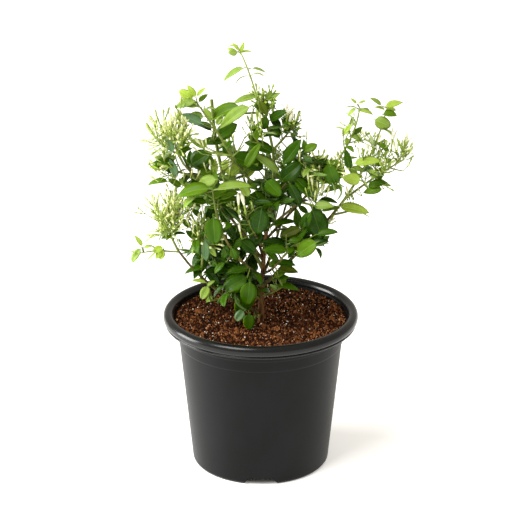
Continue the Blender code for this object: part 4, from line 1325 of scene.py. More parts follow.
def flower_forms() -> Collection:
    """Flowers a unit long: a tube, and five narrow pointed petals that open more on each."""
    meshes = []
    stations = [(0, 0.02), (0.04, 0.05), (0.12, 0.055), (0.125, 0.028), (0.4, 0.032), (0.56, 0.05), (0.6, 0)]
    for number, opening in enumerate(FLOWER_OPENINGS):
        mesh = turned_form(f"flower_{number}", stations, 7, 0.12, 0.5, 0.02)
        bm = bmesh.new()
        bm.from_mesh(mesh)
        layer = bm.faces.layers.int["part"]
        for petal in range(5):
            turn = Matrix.Rotation(2 * pi * petal / 5, 3, "Y")
            rows = []
            for share, half in ((0, 0.02), (0.3, 0.062), (0.62, 0.056), (1, 0)):
                reach, tilt = 0.46 * share, radians(opening) * (0.6 + 0.4 * share)
                centre = Vector((0.03 + reach * sin(tilt), 0.54 + reach * cos(tilt), 0))
                rows.append([centre + Vector((0.012 * abs(side), 0, side * half)) for side in (-1, 0, 1)])
            back = [[point + Vector((0.008, -0.006, 0)) for point in row] for row in rows]
            for sheet, way in ((rows, -1), (back, 1)):
                grid = [[bm.verts.new(turn @ point) for point in row] for row in sheet]
                for low, high in zip(grid, grid[1:]):
                    for left in range(2):
                        corners = [low[left], low[left + 1], high[left + 1], high[left]]
                        face = bm.faces.new(corners[::way])
                        face.smooth = True
                        face[layer] = 0
        bmesh.ops.remove_doubles(bm, verts=bm.verts, dist=0.002)
        bm.to_mesh(mesh)
        bm.free()
        meshes.append(mesh)
    return shape_collection("flower_shapes", meshes)


def make_sprig_tree() -> GeometryTree:
    """The tree that sets leaves, buds or flowers on points, each with its own turn, size and shape."""
    tree = GeometryTree("sprigs", Shapes="Collection", Upper="Material", Under="Material", Rib="Material")
    chosen = {"Collection": tree.given["Shapes"], "Separate Children": True, "Reset Children": True}
    turn = tree.node("FunctionNodeEulerToRotation", {"Euler": tree.read("turned", "FLOAT_VECTOR")})
    laid = {
        "Points": tree.given["Geometry"],
        "Instance": tree.node("GeometryNodeCollectionInfo", chosen).outputs[0],
        "Pick Instance": True,
        "Instance Index": tree.read("form", "INT"),
        "Rotation": turn.outputs[0],
        "Scale": tree.read("scaled", "FLOAT_VECTOR"),
    }
    instances = tree.node("GeometryNodeInstanceOnPoints", laid).outputs[0]
    part, match = tree.read("part", "INT"), {"data_type": "INT", "operation": "EQUAL"}
    faces = {
        name: tree.node("FunctionNodeCompare", {2: part, 3: number}, **match).outputs[0]
        for name, number in (("Under", 1), ("Rib", 2))
    }
    tree.end(instances, {"Upper": True, **faces})
    return tree


def make_stem_tree() -> GeometryTree:
    """The tree that gives centre lines their thickness and, on old wood, the relief of bark."""
    tree = GeometryTree("stems", Sides="Int", Relief="Float", Grain="Float", Finish="Material")
    given = tree.given
    line = tree.node("GeometryNodeMeshToCurve", {"Mesh": given["Geometry"]}).outputs[0]
    ring = tree.node("GeometryNodeCurvePrimitiveCircle", {"Resolution": given["Sides"], "Radius": 1.0})
    swept = {"Curve": line, "Profile Curve": ring.outputs[0], "Scale": tree.read("girth"), "Fill Caps": True}
    skin = tree.node("GeometryNodeCurveToMesh", swept).outputs[0]
    place = tree.node("GeometryNodeInputPosition").outputs[0]
    # The grain is drawn out along +Z, as bark's furrows are.
    drawn = tree.node("ShaderNodeVectorMath", {0: place, 1: (1.0, 1.0, 0.3)}, operation="MULTIPLY").outputs[0]
    grain = tree.node("ShaderNodeTexNoise", {"Vector": drawn, "Scale": given["Grain"], "Detail": 3.0})
    height = tree.node("ShaderNodeMath", {0: grain.outputs["Fac"], 1: 0.5}, operation="SUBTRACT").outputs[0]
    height = tree.node("ShaderNodeMath", {0: height, 1: given["Relief"]}, operation="MULTIPLY").outputs[0]
    normal = tree.node("GeometryNodeInputNormal").outputs[0]
    offset = tree.node("ShaderNodeVectorMath", {0: normal, "Scale": height}, operation="SCALE").outputs[0]
    skin = tree.node("GeometryNodeSetPosition", {"Geometry": skin, "Offset": offset}).outputs[0]
    tree.end(tree.node("GeometryNodeSetShadeSmooth", {"Geometry": skin}).outputs[0], {"Finish": True})
    return tree


@dataclass
class Sprigs:
    """Leaves, buds or flowers of one kind that wait to be set on the shrub."""

    places: list[Vector] = field(default_factory=list)
    turns: list[Euler] = field(default_factory=list)
    scales: list[tuple[float, float, float]] = field(default_factory=list)
    forms: list[int] = field(default_factory=list)

    def add(self, root: Vector, toward: Vector, normal: Vector, scale: Sequence[float], form: int) -> None:
        """Adds one.

        Args:
            root: Where its foot is.
            toward: Which way it points.
            normal: Which way its upper face looks.
            scale: Its size across, along and through.
            form: The number of its shape.
        """
        side = toward.cross(normal).normalized()
        matrix = Matrix((side, toward, side.cross(toward))).transposed()
        self.places.append(root)
        self.turns.append(matrix.to_euler())
        self.scales.append(scale)
        self.forms.append(form)

    def piece(
        self, name: str, tree: GeometryTree, shapes: Collection, materials: Sequence[Material]
    ) -> None:
        """Sets them all on their places as one mesh, and hands it over.

        Args:
            name: The piece's name.
            tree: The tree that sets them.
            shapes: The collection of shapes that form numbers.
            materials: For their upper faces, undersides and midribs.
        """
        obj = mesh_object(make_mesh(name, self.places))
        store(obj.data, "turned", "FLOAT_VECTOR", [tuple(turn) for turn in self.turns])
        store(obj.data, "scaled", "FLOAT_VECTOR", self.scales)
        store(obj.data, "form", "INT", self.forms)
        tree.run(obj, {"Shapes": shapes, **dict(zip(("Upper", "Under", "Rib"), materials))})
        hand_over(obj)


@dataclass(frozen=True)
class PhotoCamera:
    """The camera: level with the photograph's view, far off and long, as a product shot is taken."""

    rise: float = 21.5
    distance: float = 2.5
    target: tuple[float, float, float] = (-4.9 * MM, 0.0, 227.9 * MM)
    lens: float = 170.3
    sensor: float = 36
    picture: int = 512

    def axes(self) -> tuple[Vector, Vector, Vector]:
        """Its right, its up and the way back to it from the target."""
        back = heading(-90, self.rise)
        right = Vector((1, 0, 0))
        return right, back.cross(right), back

    def project(self, point: Vector) -> tuple[float, float]:
        """The pixel of the photograph at which a point shows."""
        right, up, back = self.axes()
        off = point - Vector(self.target)
        scale = self.picture * self.lens / self.sensor / (self.distance - off.dot(back))
        return self.picture / 2 + off.dot(right) * scale, self.picture / 2 - off.dot(up) * scale

    def nearness(self, point: Vector) -> float:
        """How far the point stands towards the camera from its target."""
        return (point - Vector(self.target)).dot(self.axes()[2])

    def lift(self, pixel: tuple[float, float], depth: float) -> Vector:
        """The point on the plane y = depth that shows at a pixel of the photograph."""
        right, up, back = self.axes()
        scale = self.sensor / self.lens / self.picture
        eye = Vector(self.target) + back * self.distance
        x, y = (value - self.picture / 2 for value in pixel)
        ray = right * x * scale - up * y * scale - back
        return eye + ray * ((depth - eye.y) / ray.y)

    def build(self) -> None:
        """Sets up the scene's camera."""
        data = bpy.data.cameras.new("camera")
        data.lens, data.sensor_width = self.lens, self.sensor
        data.clip_start, data.clip_end = 0.05, 50
        camera = link(bpy.data.objects.new("camera", data))
        _, _, back = self.axes()
        camera.location = Vector(self.target) + back * self.distance
        camera.rotation_euler = (-back).to_track_quat("-Z", "Y").to_euler()
        bpy.context.scene.camera = camera


CAMERA = PhotoCamera()


@dataclass
class Placed:
    """A leaf, bud or flower that the eye picks out, placed where it stands on its own stem.

    Attributes:
        carrier: The mass or limb whose stem bears it.
        foot: Where its blade or calyx starts, in pixels of the front view.
        tip: Where it ends, in the same pixels.
    """

    carrier: str
    foot: tuple[float, float]
    tip: tuple[float, float]


@dataclass
class Blade(Placed):
    """A placed leaf.

    Attributes:
        tint: Its colour.
        face: How far its upper face leans from the sky towards the front, in degrees.
        form: Its outline.
        forward: How far its foot stands in front of its stem, in millimetres.
        reach: How much further forward its tip is than its foot, in millimetres.
        bend: Which of the bends it has; 0 leaves it to chance.
    """

    tint: Tint
    face: float
    form: Form
    forward: float = 0
    reach: float = 0
    bend: int = 0


# The dark tints on leaves set back inside the crown are painted shade.
# Each carrier's leaves in turn: foot x and y, tip x and y, tint, face, form, forward, reach and bend.
BLADE_ROWS = (
    ("top_shoot", (246, 67, 221, 79, PALE, 20, OBLONG), (251, 68, 267, 71, PALE, 16, LEAFLET),
     (240, 54, 244, 42, LIME, 60, LEAFLET), (237, 52, 227, 46, LIME, 30, LEAFLET),
     (239, 51, 233, 42, LIME, 50, LEAFLET), (238, 53, 229, 52, PALE, 70, BROAD, 0, 5),
     (239, 53, 252, 50, LIME, 20, LEAFLET)),
    ("leader_left_leaves", (253, 105, 217, 126, PALE, 34, OBLONG, 5, 8, 1),
     (243, 105, 204, 118, FRESH, 36, OBLONG, -8, 0, 1)),
    ("top_cluster", (266, 100, 272, 91, PALE, 80, BROAD), (258, 97, 232, 101, PALE, 24, OBLONG),
     (268, 122, 287, 109, DEEP, 40, OVATE, 4, 4)),
    ("bough_leader", (265, 115, 264, 131, MID, 80, BROAD, 4, 6),
     (259, 100, 268, 116, OLIVE, 70, OVATE, 5, 8)),
    ("upper_left_tip", (197, 101, 174, 106, PALE, 40, OVATE, 2, 6),
     (194, 100, 179, 90, LIME, 70, BROAD, 0, 2), (198, 103, 207, 92, FRESH, 40, OVATE, -2, -2)),
    ("cut_stem_leaves", (216, 138, 236, 124, MID, 60, BROAD, 4, 6),
     (226, 143, 199, 137, MID, 30, OVATE, 2, 6), (222, 146, 231, 158, DEEP, 60, OVATE, 4, 8)),
    ("left_dark_leaves", (189, 166, 215, 151, DEEP, 60, BROAD, 2, 6, 3),
     (191, 168, 190, 151, MID, 60, OVATE, 0, 2)),
    ("left_middle_leaves", (178, 165, 152, 157, DEEP, 30, OVATE, 0, 4),
     (170, 182, 146, 178, FRESH, 20, OBLONG)),
    ("crown_left", (244, 171, 260, 142, FRESH, 50, LEAFLET, 8, 4, 1),
     (267, 171, 226, 151, DEEP, 38, OVATE, 6, 8, 1)),
    ("front_left_shoot", (213, 189, 175, 188, FRESH, 34, OVATE, 6, 8),
     (218, 179, 196, 183, PALE, 50, BROAD, 0, 4), (213, 190, 252, 182, PALE, 16, OBLONG, 2, 4),
     (213, 214, 215, 246, MID, 82, BROAD, 8, 6)),
    ("centre_left", (205, 238, 206, 262, SAGE, 70, OBLONG, 6, 6)),
    ("centre_high", (265, 179, 281, 196, MID, 74, BROAD, 12, 8)),
    ("crown_right", (281, 166, 308, 138, DEEP, 46, OBLONG, 8, 10, 3),
     (275, 154, 249, 137, DEEP, 40, OBLONG, 6, 8), (281, 176, 254, 150, PALE, 30, LEAFLET, 10, 6)),
    ("shoulder_right", (280, 182, 300, 163, DARK, 62, BROAD, 8, 8),
     (292, 176, 317, 196, DEEP, 40, OVATE, 8, 8)),
    ("right_hanging", (311, 206, 323, 241, DARK, 70, BROAD, 4, 6),
     (312, 210, 299, 232, DEEP, 60, OVATE, 6, 8)),
    ("front_right", (319, 241, 293, 255, FRESH, 52, BROAD, 10, 6),
     (289, 251, 263, 248, DEEP, 40, OVATE, 6, 8)),
    ("right_outer_low", (337, 206, 370, 211, LIME, 46, OBLONG, 12, 6, 1)),
    ("right_outer", (362, 180, 343, 178, LIME, 70, BROAD, 6, 6),
     (352, 164, 381, 159, LIME, 44, OBLONG, 4, 6, 1), (366, 187, 387, 181, MID, 46, OVATE, 2, 4, 1)),
    ("right_shoot_high", (373, 119, 392, 127, PALE, 74, BROAD, 2, 6),
     (382, 106, 371, 97, PALE, 30, OBLONG, 0, 2), (384, 107, 403, 101, LIME, 44, OVATE, 0, 0, 1),
     (382, 114, 397, 112, FRESH, 36, BROAD, 2, 4)),
    ("right_shoot_inner", (357, 108, 346, 114, LIME, 30, OBLONG, 0, 4),
     (358, 111, 375, 110, LIME, 24, OBLONG), (357, 104, 351, 98, LIME, 50, LEAFLET, 0, 2),
     (358, 104, 366, 99, LIME, 40, LEAFLET), (353, 124, 341, 134, LIME, 34, OBLONG, 0, 4)),
    ("low_front", (250, 276, 221, 290, DEEP, 58, BROAD, 6, 8), (250, 279, 247, 307, MID, 80, BROAD, 12, 6)),
    ("low_left_front", (232, 270, 203, 270, DARK, 30, OVATE, 4, 6)),
    ("low_left_inner", (216, 262, 216, 290, DARK, 60, OVATE, 4, 6)),
    ("soil_left_shoot", (209, 285, 201, 300, PALE, 64, BROAD, 3, 2),
     (214, 296, 204, 302, FRESH, 40, OVATE, 0, 2), (207, 286, 214, 280, PALE, 50, OBLONG, 0, 2),
     (207, 283, 192, 279, LIME, 24, OBLONG, 0, 2)),
    ("foot_leaves", (245, 310, 234, 322, SAGE, 60, BROAD, 4, 4),
     (249, 312, 249, 331, MID, 62, BROAD, 6, 6)),
    ("left_tendril", (142, 247, 128, 264, PALE, 50, OBLONG, 0, 4), (143, 247, 135, 235, LIME, 40, LEAFLET),
     (164, 247, 151, 252, LIME, 66, BROAD, 2, 2), (163, 249, 160, 260, LIME, 66, BROAD, 2, 3),
     (143, 248, 151, 246, LIME, 40, LEAFLET, 0, 4)),
    ("right_base", (275, 285, 300, 288, MID, 20, OVATE, 2, 4),
     (272, 279, 291, 266, FRESH, 30, OVATE, 2, 4)),
    ("bough_upper_left", (204, 125, 180, 113, SAGE, 50, OVATE, 10, 2)),
    ("upper_left_cyme", (173, 153, 168, 138, SAGE, 72, OVATE, 4, 3)),
    ("left_middle_leaves", (177, 177, 170, 160, SAGE, 66, OVATE, 4, 3)),
    ("crown_left", (241, 174, 222, 162, LIME, 66, BROAD, 0, 4), (243, 178, 258, 163, LIME, 60, OVATE, 0, 4),
     (244, 176, 247, 159, PALE, 60, OVATE, 0, 2), (238, 181, 222, 175, PALE, 50, OVATE, 0, 4)),
    ("upper_left_inner", (212, 178, 198, 164, FRESH, 66, OVATE, 6, 4),
     (214, 176, 215, 159, LIME, 74, OVATE, 4, 2), (210, 180, 192, 174, PALE, 40, OVATE, 4, 4),
     (206, 182, 187, 181, MID, 40, OVATE, 0, 4)),
    ("front_left_shoot", (206, 192, 222, 207, DEEP, 70, BROAD, -6, 2),
     (242, 184, 249, 197, PALE, 78, BROAD, 0, 2), (209, 200, 228, 188, FRESH, 40, OVATE, -2, -4),
     (208, 204, 190, 197, MID, 40, OVATE, -4, -2)),
    ("crown_right", (305, 163, 283, 173, MID, 26, OBLONG, 14, 2),
     (300, 171, 280, 181, MID, 50, OVATE, 14, 4)),
    ("right_middle", (288, 181, 304, 209, DARK, 60, OBLONG, 10, 8),
     (304, 152, 316, 144, FRESH, 60, BROAD, 0, 4), (306, 153, 304, 140, MID, 60, OVATE, 0, 2),
     (309, 161, 334, 158, DARK, 12, OBLONG, 0, 4), (327, 161, 337, 189, MID, 76, BROAD, 8, 8),
     (312, 206, 334, 205, PALE, 44, OVATE, 8, 8, 1), (317, 200, 339, 201, DARK, 16, OVATE, 0, 2)),
    ("bough_right_back", (344, 187, 323, 187, FRESH, 24, OBLONG, 6, 4)),
    ("right_shoot_high", (350, 171, 346, 150, DEEP, 70, OBLONG, 0, 2),
     (372, 166, 359, 172, SAGE, 50, OVATE, 0, 2), (375, 142, 391, 151, FRESH, 30, OBLONG, 0, 2)),
    ("right_shoot_inner", (349, 136, 366, 138, PALE, 30, OVATE, 0, 2)),
    ("right_outer", (384, 189, 362, 190, FRESH, 50, OVATE, 6, 4)),
    ("right_low", (303, 228, 279, 236, OLIVE, 62, OVATE, 16, 6),
     (288, 246, 262, 240, DARK, 50, OVATE, 14, 6), (300, 236, 310, 222, DEEP, 50, OVATE, 8, 4),
     (270, 226, 296, 219, MID, 24, OBLONG, 2, 2)),
    ("front_right", (315, 235, 338, 230, MID, 30, OBLONG, 0, 2),
     (306, 246, 328, 238, DARK, 30, OVATE, 0, 2)),
    ("right_base", (264, 249, 283, 263, MID, 40, OBLONG, 4, 6),
     (276, 268, 299, 271, OLIVE, 40, OVATE, 4, 4), (274, 264, 296, 260, DEEP, 30, OVATE, 2, 4)),
    ("centre_front", (262, 206, 257, 236, DARK, 70, BROAD, 8, 4),
     (262, 228, 250, 247, DARK, 60, BROAD, -10, 2)),
    ("left_inner", (248, 250, 258, 236, DARK, 60, BROAD, -14, 2),
     (250, 254, 240, 238, DEEP, 60, BROAD, -14, 2)),
    ("centre_front", (240, 240, 258, 252, DARK, 54, BROAD, 10, 6),
     (246, 236, 232, 250, DEEP, 60, OVATE, 8, 4), (250, 204, 272, 200, DARK, 24, OVATE, 6, 6)),
    ("low_front", (250, 268, 226, 271, DEEP, 30, OVATE, 8, 6)),
    ("low_left_front", (205, 268, 221, 286, DARK, 60, OVATE, 4, 6)),
    ("lower_left_leaves", (207, 268, 183, 267, MID, 20, OBLONG, 0, 4),
     (196, 244, 202, 262, DARK, 66, OVATE, 0, 4)),
    ("centre_left", (226, 262, 211, 272, MID, 36, OVATE, 4, 4), (222, 206, 240, 219, DARK, 60, OVATE, -6),
     (226, 222, 236, 242, DARK, 66, OVATE, -6, 2), (224, 232, 208, 222, DEEP, 50, OVATE, -8, 2)),
    ("centre_front", (250, 214, 240, 232, DARK, 60, OVATE, -8, 2),
     (246, 222, 257, 240, DEEP, 66, OVATE, -8, 2)),
    ("centre_high", (246, 194, 264, 204, DARK, 50, OVATE, -2, 2)),
    ("left_inner", (236, 246, 216, 240, DARK, 50, OVATE, -4, 2)),
    ("upper_left_tip", (196, 98, 188, 85, LIME, 60, OVATE, 0, 2),
     (196, 97, 205, 87, LIME, 40, LEAFLET, 0, 2)),
    ("upper_left_inner", (208, 148, 190, 139, PALE, 50, OVATE, -4, 2),
     (214, 166, 204, 152, FRESH, 56, OVATE, -6, 2), (211, 118, 205, 108, PALE, 60, OVATE, -2, 2)),
    ("cut_stem_leaves", (216, 126, 223, 114, PALE, 50, OVATE, -2, 2)),
    ("left_middle_leaves", (190, 188, 179, 178, PALE, 60, OVATE, -2, 2),
     (182, 188, 169, 177, FRESH, 50, OVATE, -4, 2)),
    ("lower_left_leaves", (201, 217, 191, 208, MID, 60, OVATE, -8, 2),
     (204, 226, 188, 231, DEEP, 60, OVATE, -10, 2), (205, 206, 191, 200, MID, 60, OVATE, -10, 2),
     (192, 228, 180, 218, FRESH, 60, OVATE, -10, 2), (198, 240, 186, 230, MID, 60, OVATE, -10, 2),
     (206, 222, 214, 206, DARK, 60, OVATE, -12, 2)),
    ("left_inner", (236, 262, 246, 250, DARK, 60, BROAD, -16), (226, 258, 238, 250, DEEP, 60, OVATE, -14),
     (251, 272, 252, 254, DARK, 60, BROAD, -14, 2)),
    ("right_base", (268, 268, 278, 258, FRESH, 40, OVATE, -4, 2)),
    ("right_middle", (297, 206, 311, 213, DEEP, 50, OVATE, -4, 2)),
    ("right_low", (299, 229, 296, 208, MID, 60, OVATE, -4, 2)),
    ("right_middle", (320, 212, 339, 203, FRESH, 30, OBLONG, -4, 2)),
    ("right_shoot_high", (364, 170, 350, 167, PALE, 50, OVATE, 0, 2)),
    ("left_tendril", (164, 250, 153, 259, LIME, 50, OVATE, 2, 3)),
    ("left_inner", (244, 233, 228, 227, DARK, 60, BROAD, -16), (236, 244, 246, 228, DARK, 60, BROAD, -22),
     (258, 245, 267, 233, DARK, 60, OVATE, -16), (240, 219, 254, 208, DARK, 60, BROAD, -20)),
    ("bough_front_left", (240, 257, 225, 247, DEEP, 60, BROAD, 6, 4),
     (231, 246, 237, 263, MID, 70, OVATE, 6, 4)),
    ("left_inner", (234, 250, 214, 256, DARK, 44, OVATE, -2, 4),
     (240, 252, 232, 270, DEEP, 66, OVATE, 0, 4)),
    ("low_left_inner", (212, 258, 194, 254, DEEP, 44, OVATE, 0, 2)),
    ("centre_left", (228, 244, 222, 262, DEEP, 66, OVATE, 4, 4)),
)
BLADES = [Blade(carrier, row[:2], row[2:4], *row[4:]) for carrier, *rows in BLADE_ROWS for row in rows]


@dataclass
class Bloom(Placed):
    """A placed bud or open flower, and how far its foot stands in front of its stem, in millimetres."""

    stage: Stage
    forward: float = 0


# Each carrier's buds and flowers of one stage in turn: foot x and y, tip x and y, and forward.
BLOOM_ROWS = (
    ("centre_front", WHITE, (239, 215, 238, 192, 14), (246, 215, 242, 192, 15), (242, 239, 237, 222, 14)),
    ("crown_left", WHITE, (229, 178, 231, 158, 4)),
    ("crown_right", WHITE, (308, 179, 305, 162, 10)),
    ("right_shoot_inner", WHITE, (341, 192, 338, 174, 6)),
    ("upper_left_inner", CREAM, (206, 152, 200, 139, -2), (205, 150, 194, 137, -2),
     (207, 149, 205, 137, -2), (202, 154, 192, 146, -2)),
    ("right_outer_low", CREAM, (350, 200, 345, 186, 4)),
    ("right_outer", CREAM, (354, 200, 350, 188)),
    ("right_outer_low", CREAM, (326, 224, 336, 218), (328, 224, 334, 223)),
    ("crown_left", CREAM, (262, 128, 254, 115), (262, 127, 259, 112), (262, 130, 250, 122)),
    ("right_outer", CREAM, (396, 154, 394, 140), (397, 154, 399, 142), (404, 157, 413, 149),
     (407, 155, 414, 153)),
    ("right_shoot_high", CREAM, (375, 146, 381, 134), (375, 144, 374, 132), (368, 156, 368, 143),
     (360, 158, 357, 146), (365, 140, 362, 129)),
    ("right_shoot_inner", CREAM, (343, 162, 339, 149), (343, 164, 336, 153), (354, 121, 354, 112)),
    ("right_middle", CREAM, (322, 196, 324, 184)),
    ("lower_left_cyme", CREAM, (166, 204, 158, 192)),
    ("left_middle_leaves", CREAM, (160, 183, 149, 175)),
    ("centre_left", WHITE, (205, 218, 200, 201, 8)),
    ("lower_left_leaves", CREAM, (191, 214, 195, 202, 4), (186, 214, 188, 202, 6), (190, 228, 186, 217, 6),
     (194, 232, 193, 219, 8), (197, 225, 199, 212, 6), (188, 205, 191, 194, 2), (183, 199, 186, 188),
     (192, 237, 194, 226, 6), (198, 241, 199, 230, 8), (204, 243, 206, 232, 8), (186, 223, 189, 212, 2)),
    ("upper_left_inner", CREAM, (207, 173, 203, 162, 2), (211, 171, 210, 159, 4), (216, 172, 218, 162)),
    ("left_middle_leaves", CREAM, (190, 179, 193, 168, 4), (184, 180, 183, 170, 2), (196, 180, 200, 170, 4),
     (163, 171, 157, 163, 2), (161, 175, 154, 170)),
    ("right_middle", CREAM, (309, 186, 307, 171, 8), (313, 191, 312, 177, 10), (317, 193, 318, 181, 8),
     (320, 196, 323, 185, 6), (314, 202, 316, 190, 10), (326, 197, 329, 187, 4), (300, 162, 299, 151, 6)),
    ("crown_right", CREAM, (287, 163, 285, 153, 8), (292, 160, 292, 150, 8)),
    ("right_shoot_inner", CREAM, (333, 180, 331, 169, 2), (343, 170, 341, 160, 2), (338, 164, 334, 155),
     (346, 166, 348, 155)),
    ("right_shoot_high", CREAM, (362, 196, 358, 187)),
    ("crown_left", GREEN, (246, 134, 241, 126), (251, 127, 247, 115), (254, 126, 251, 112),
     (258, 124, 257, 109)),
    ("crown_right", GREEN, (284, 130, 281, 118), (289, 130, 288, 117), (294, 134, 294, 122),
     (296, 136, 299, 125)),
    ("right_middle", GREEN, (305, 192, 303, 180, 4), (308, 190, 310, 176, 6), (311, 188, 314, 174, 4),
     (315, 186, 319, 172, 4), (304, 182, 301, 170, 2), (318, 192, 325, 180, 4), (321, 195, 331, 184, 2),
     (312, 196, 309, 184, 8), (316, 198, 320, 187, 8), (308, 198, 305, 187, 8)),
    ("right_shoot_inner", GREEN, (341, 162, 337, 151), (344, 160, 345, 148), (346, 164, 351, 153)),
    ("right_shoot_high", GREEN, (363, 142, 358, 133), (366, 140, 366, 130)),
    ("right_outer", GREEN, (378, 172, 384, 163), (382, 174, 391, 167), (372, 178, 377, 168),
     (388, 164, 395, 156), (384, 160, 388, 150)),
    ("right_outer_low", GREEN, (352, 197, 350, 187, 4), (348, 201, 345, 191, 4), (329, 224, 337, 221)),
    ("lower_left_cyme", GREEN, (183, 249, 179, 238), (180, 247, 176, 238)),
    ("left_middle_leaves", GREEN, (170, 192, 166, 183)),
    ("crown_right", OPEN, (285, 128, 290, 102, 2)),
    ("crown_right", WHITE, (287, 132, 292, 111, 2)),
    ("right_outer", OPEN, (391, 152, 394, 128), (402, 154, 410, 132)),
)
BLOOMS = [
    Bloom(carrier, row[:2], row[2:4], stage, *row[4:])
    for carrier, stage, *rows in BLOOM_ROWS
    for row in rows
]

# Where the wall behind shows through the crown in the front view: pixels across and down, and a radius.
SKY_WINDOWS = (
    (284, 213, 8), (276, 232, 7), (258, 259, 4), (329, 193, 8), (296, 197, 3), (263, 172, 5),
    (202, 172, 4), (178, 164, 4), (225, 276, 4), (200, 210, 4), (186, 236, 5), (226, 157, 5),
    (204, 146, 4), (200, 130, 5), (241, 130, 8), (244, 145, 5), (234, 146, 4), (220, 114, 2),
    (208, 103, 4), (217, 100, 4), (200, 90, 3), (230, 88, 12), (276, 141, 4), (266, 138, 3), (285, 142, 4),
    (315, 163, 3), (322, 174, 3), (334, 150, 9), (322, 135, 16), (356, 152, 4), (362, 145, 3),
    (372, 128, 4), (312, 114, 12), (305, 262, 10), (201, 102, 5), (139, 203, 5), (153, 226, 6),
    (227, 304, 6), (187, 246, 4), (229, 39, 4), (258, 76, 3), (241, 80, 3), (309, 253, 7), (357, 126, 3),
    (300, 131, 4), (403, 163, 5), (239, 139, 3), (187, 244, 3), (241, 116, 5), (236, 158, 3),
    (317, 155, 3), (347, 122, 3), (359, 117, 3), (249, 129, 2), (160, 115, 3), (148, 137, 3),
    (342, 138, 2), (392, 167, 3), (356, 218, 6), (346, 232, 12), (356, 198, 8), (334, 250, 10),
    (318, 266, 12), (176, 176, 3), (166, 268, 16), (186, 275, 6), (150, 215, 4), (140, 170, 9),
    (156, 174, 4), (300, 292, 14), (274, 284, 5), (276, 300, 8), (211, 306, 7), (262, 284, 4),
    (262, 292, 4), (261, 300, 4), (261, 308, 4), (188, 290, 6), (380, 205, 14), (400, 180, 12),
)


@dataclass
class Room:
    """The space that the foliage may fill: clear of limbs, pot and mix, and inside the part's own box."""

    lines: np.ndarray
    radii: np.ndarray
    pot: NurseryPot
    blades: list[tuple[Vector, float, BVHTree]] = field(default_factory=list)
    shown: list[tuple[float, float, float, float]] = field(default_factory=list)
    margin: float = 1.2 * MM

    def free(self, points: Sequence[Vector], limb_gap: float = 0.2 * MM) -> bool:
        """Whether the points are clear of every limb, the pot and the mix, and inside the part's box."""
        rows = np.array(points)
        low, high = (np.array(corner) for corner in CAD_BOX)
        if (rows < low + self.margin).any() or (rows > high - self.margin).any():
            return False
        distances = np.linalg.norm(rows[:, None] - self.lines[None], axis=2) - self.radii[None]
        if (distances < limb_gap).any():
            return False
        radius = np.hypot(rows[:, 0], rows[:, 1])
        inside = radius < self.pot.rim_radius - 12 * MM
        over = radius < self.pot.rim_radius + 2 * MM
        floor = np.where(inside, 161 * MM, np.where(over, self.pot.height + MM, 0))
        return not (over & (rows[:, 2] < floor)).any()

    def show(self, root: Vector, tip: Vector, width: float) -> None:
        """Keeps the front view of a placed leaf clear of leaves that would stand before it."""
        foot, end = Vector(CAMERA.project(root)), Vector(CAMERA.project(tip))
        nearness = CAMERA.nearness(root.lerp(tip, 0.5))
        for share, part in ((0.25, 0.7), (0.5, 0.9), (0.78, 0.6)):
            spot = foot.lerp(end, share)
            self.shown.append((spot.x, spot.y, width / 2 * (end - foot).length * part, nearness))

    def spoils_view(self, points: Sequence[Vector]) -> bool:
        """Whether the points would close a gap in the crown, or hide a leaf that the eye picks out."""
        seen = np.array([(*CAMERA.project(point), CAMERA.nearness(point)) for point in points])
        gaps, shown = np.array(SKY_WINDOWS), np.array(self.shown)
        if (np.hypot(seen[:, None, 0] - gaps[:, 0], seen[:, None, 1] - gaps[:, 1]) < gaps[:, 2]).any():
            return True
        over = np.hypot(seen[:, None, 0] - shown[:, 0], seen[:, None, 1] - shown[:, 1]) < shown[:, 2]
        return bool((over & (seen[:, None, 2] > shown[:, 3])).any())

    def crosses(self, root: Vector, reach: float, tree: BVHTree) -> bool:
        """Whether a blade cuts through one that is already there."""
        near = (other for centre, size, other in self.blades if (centre - root).length < reach + size)
        return any(tree.overlap(other) for other in near)


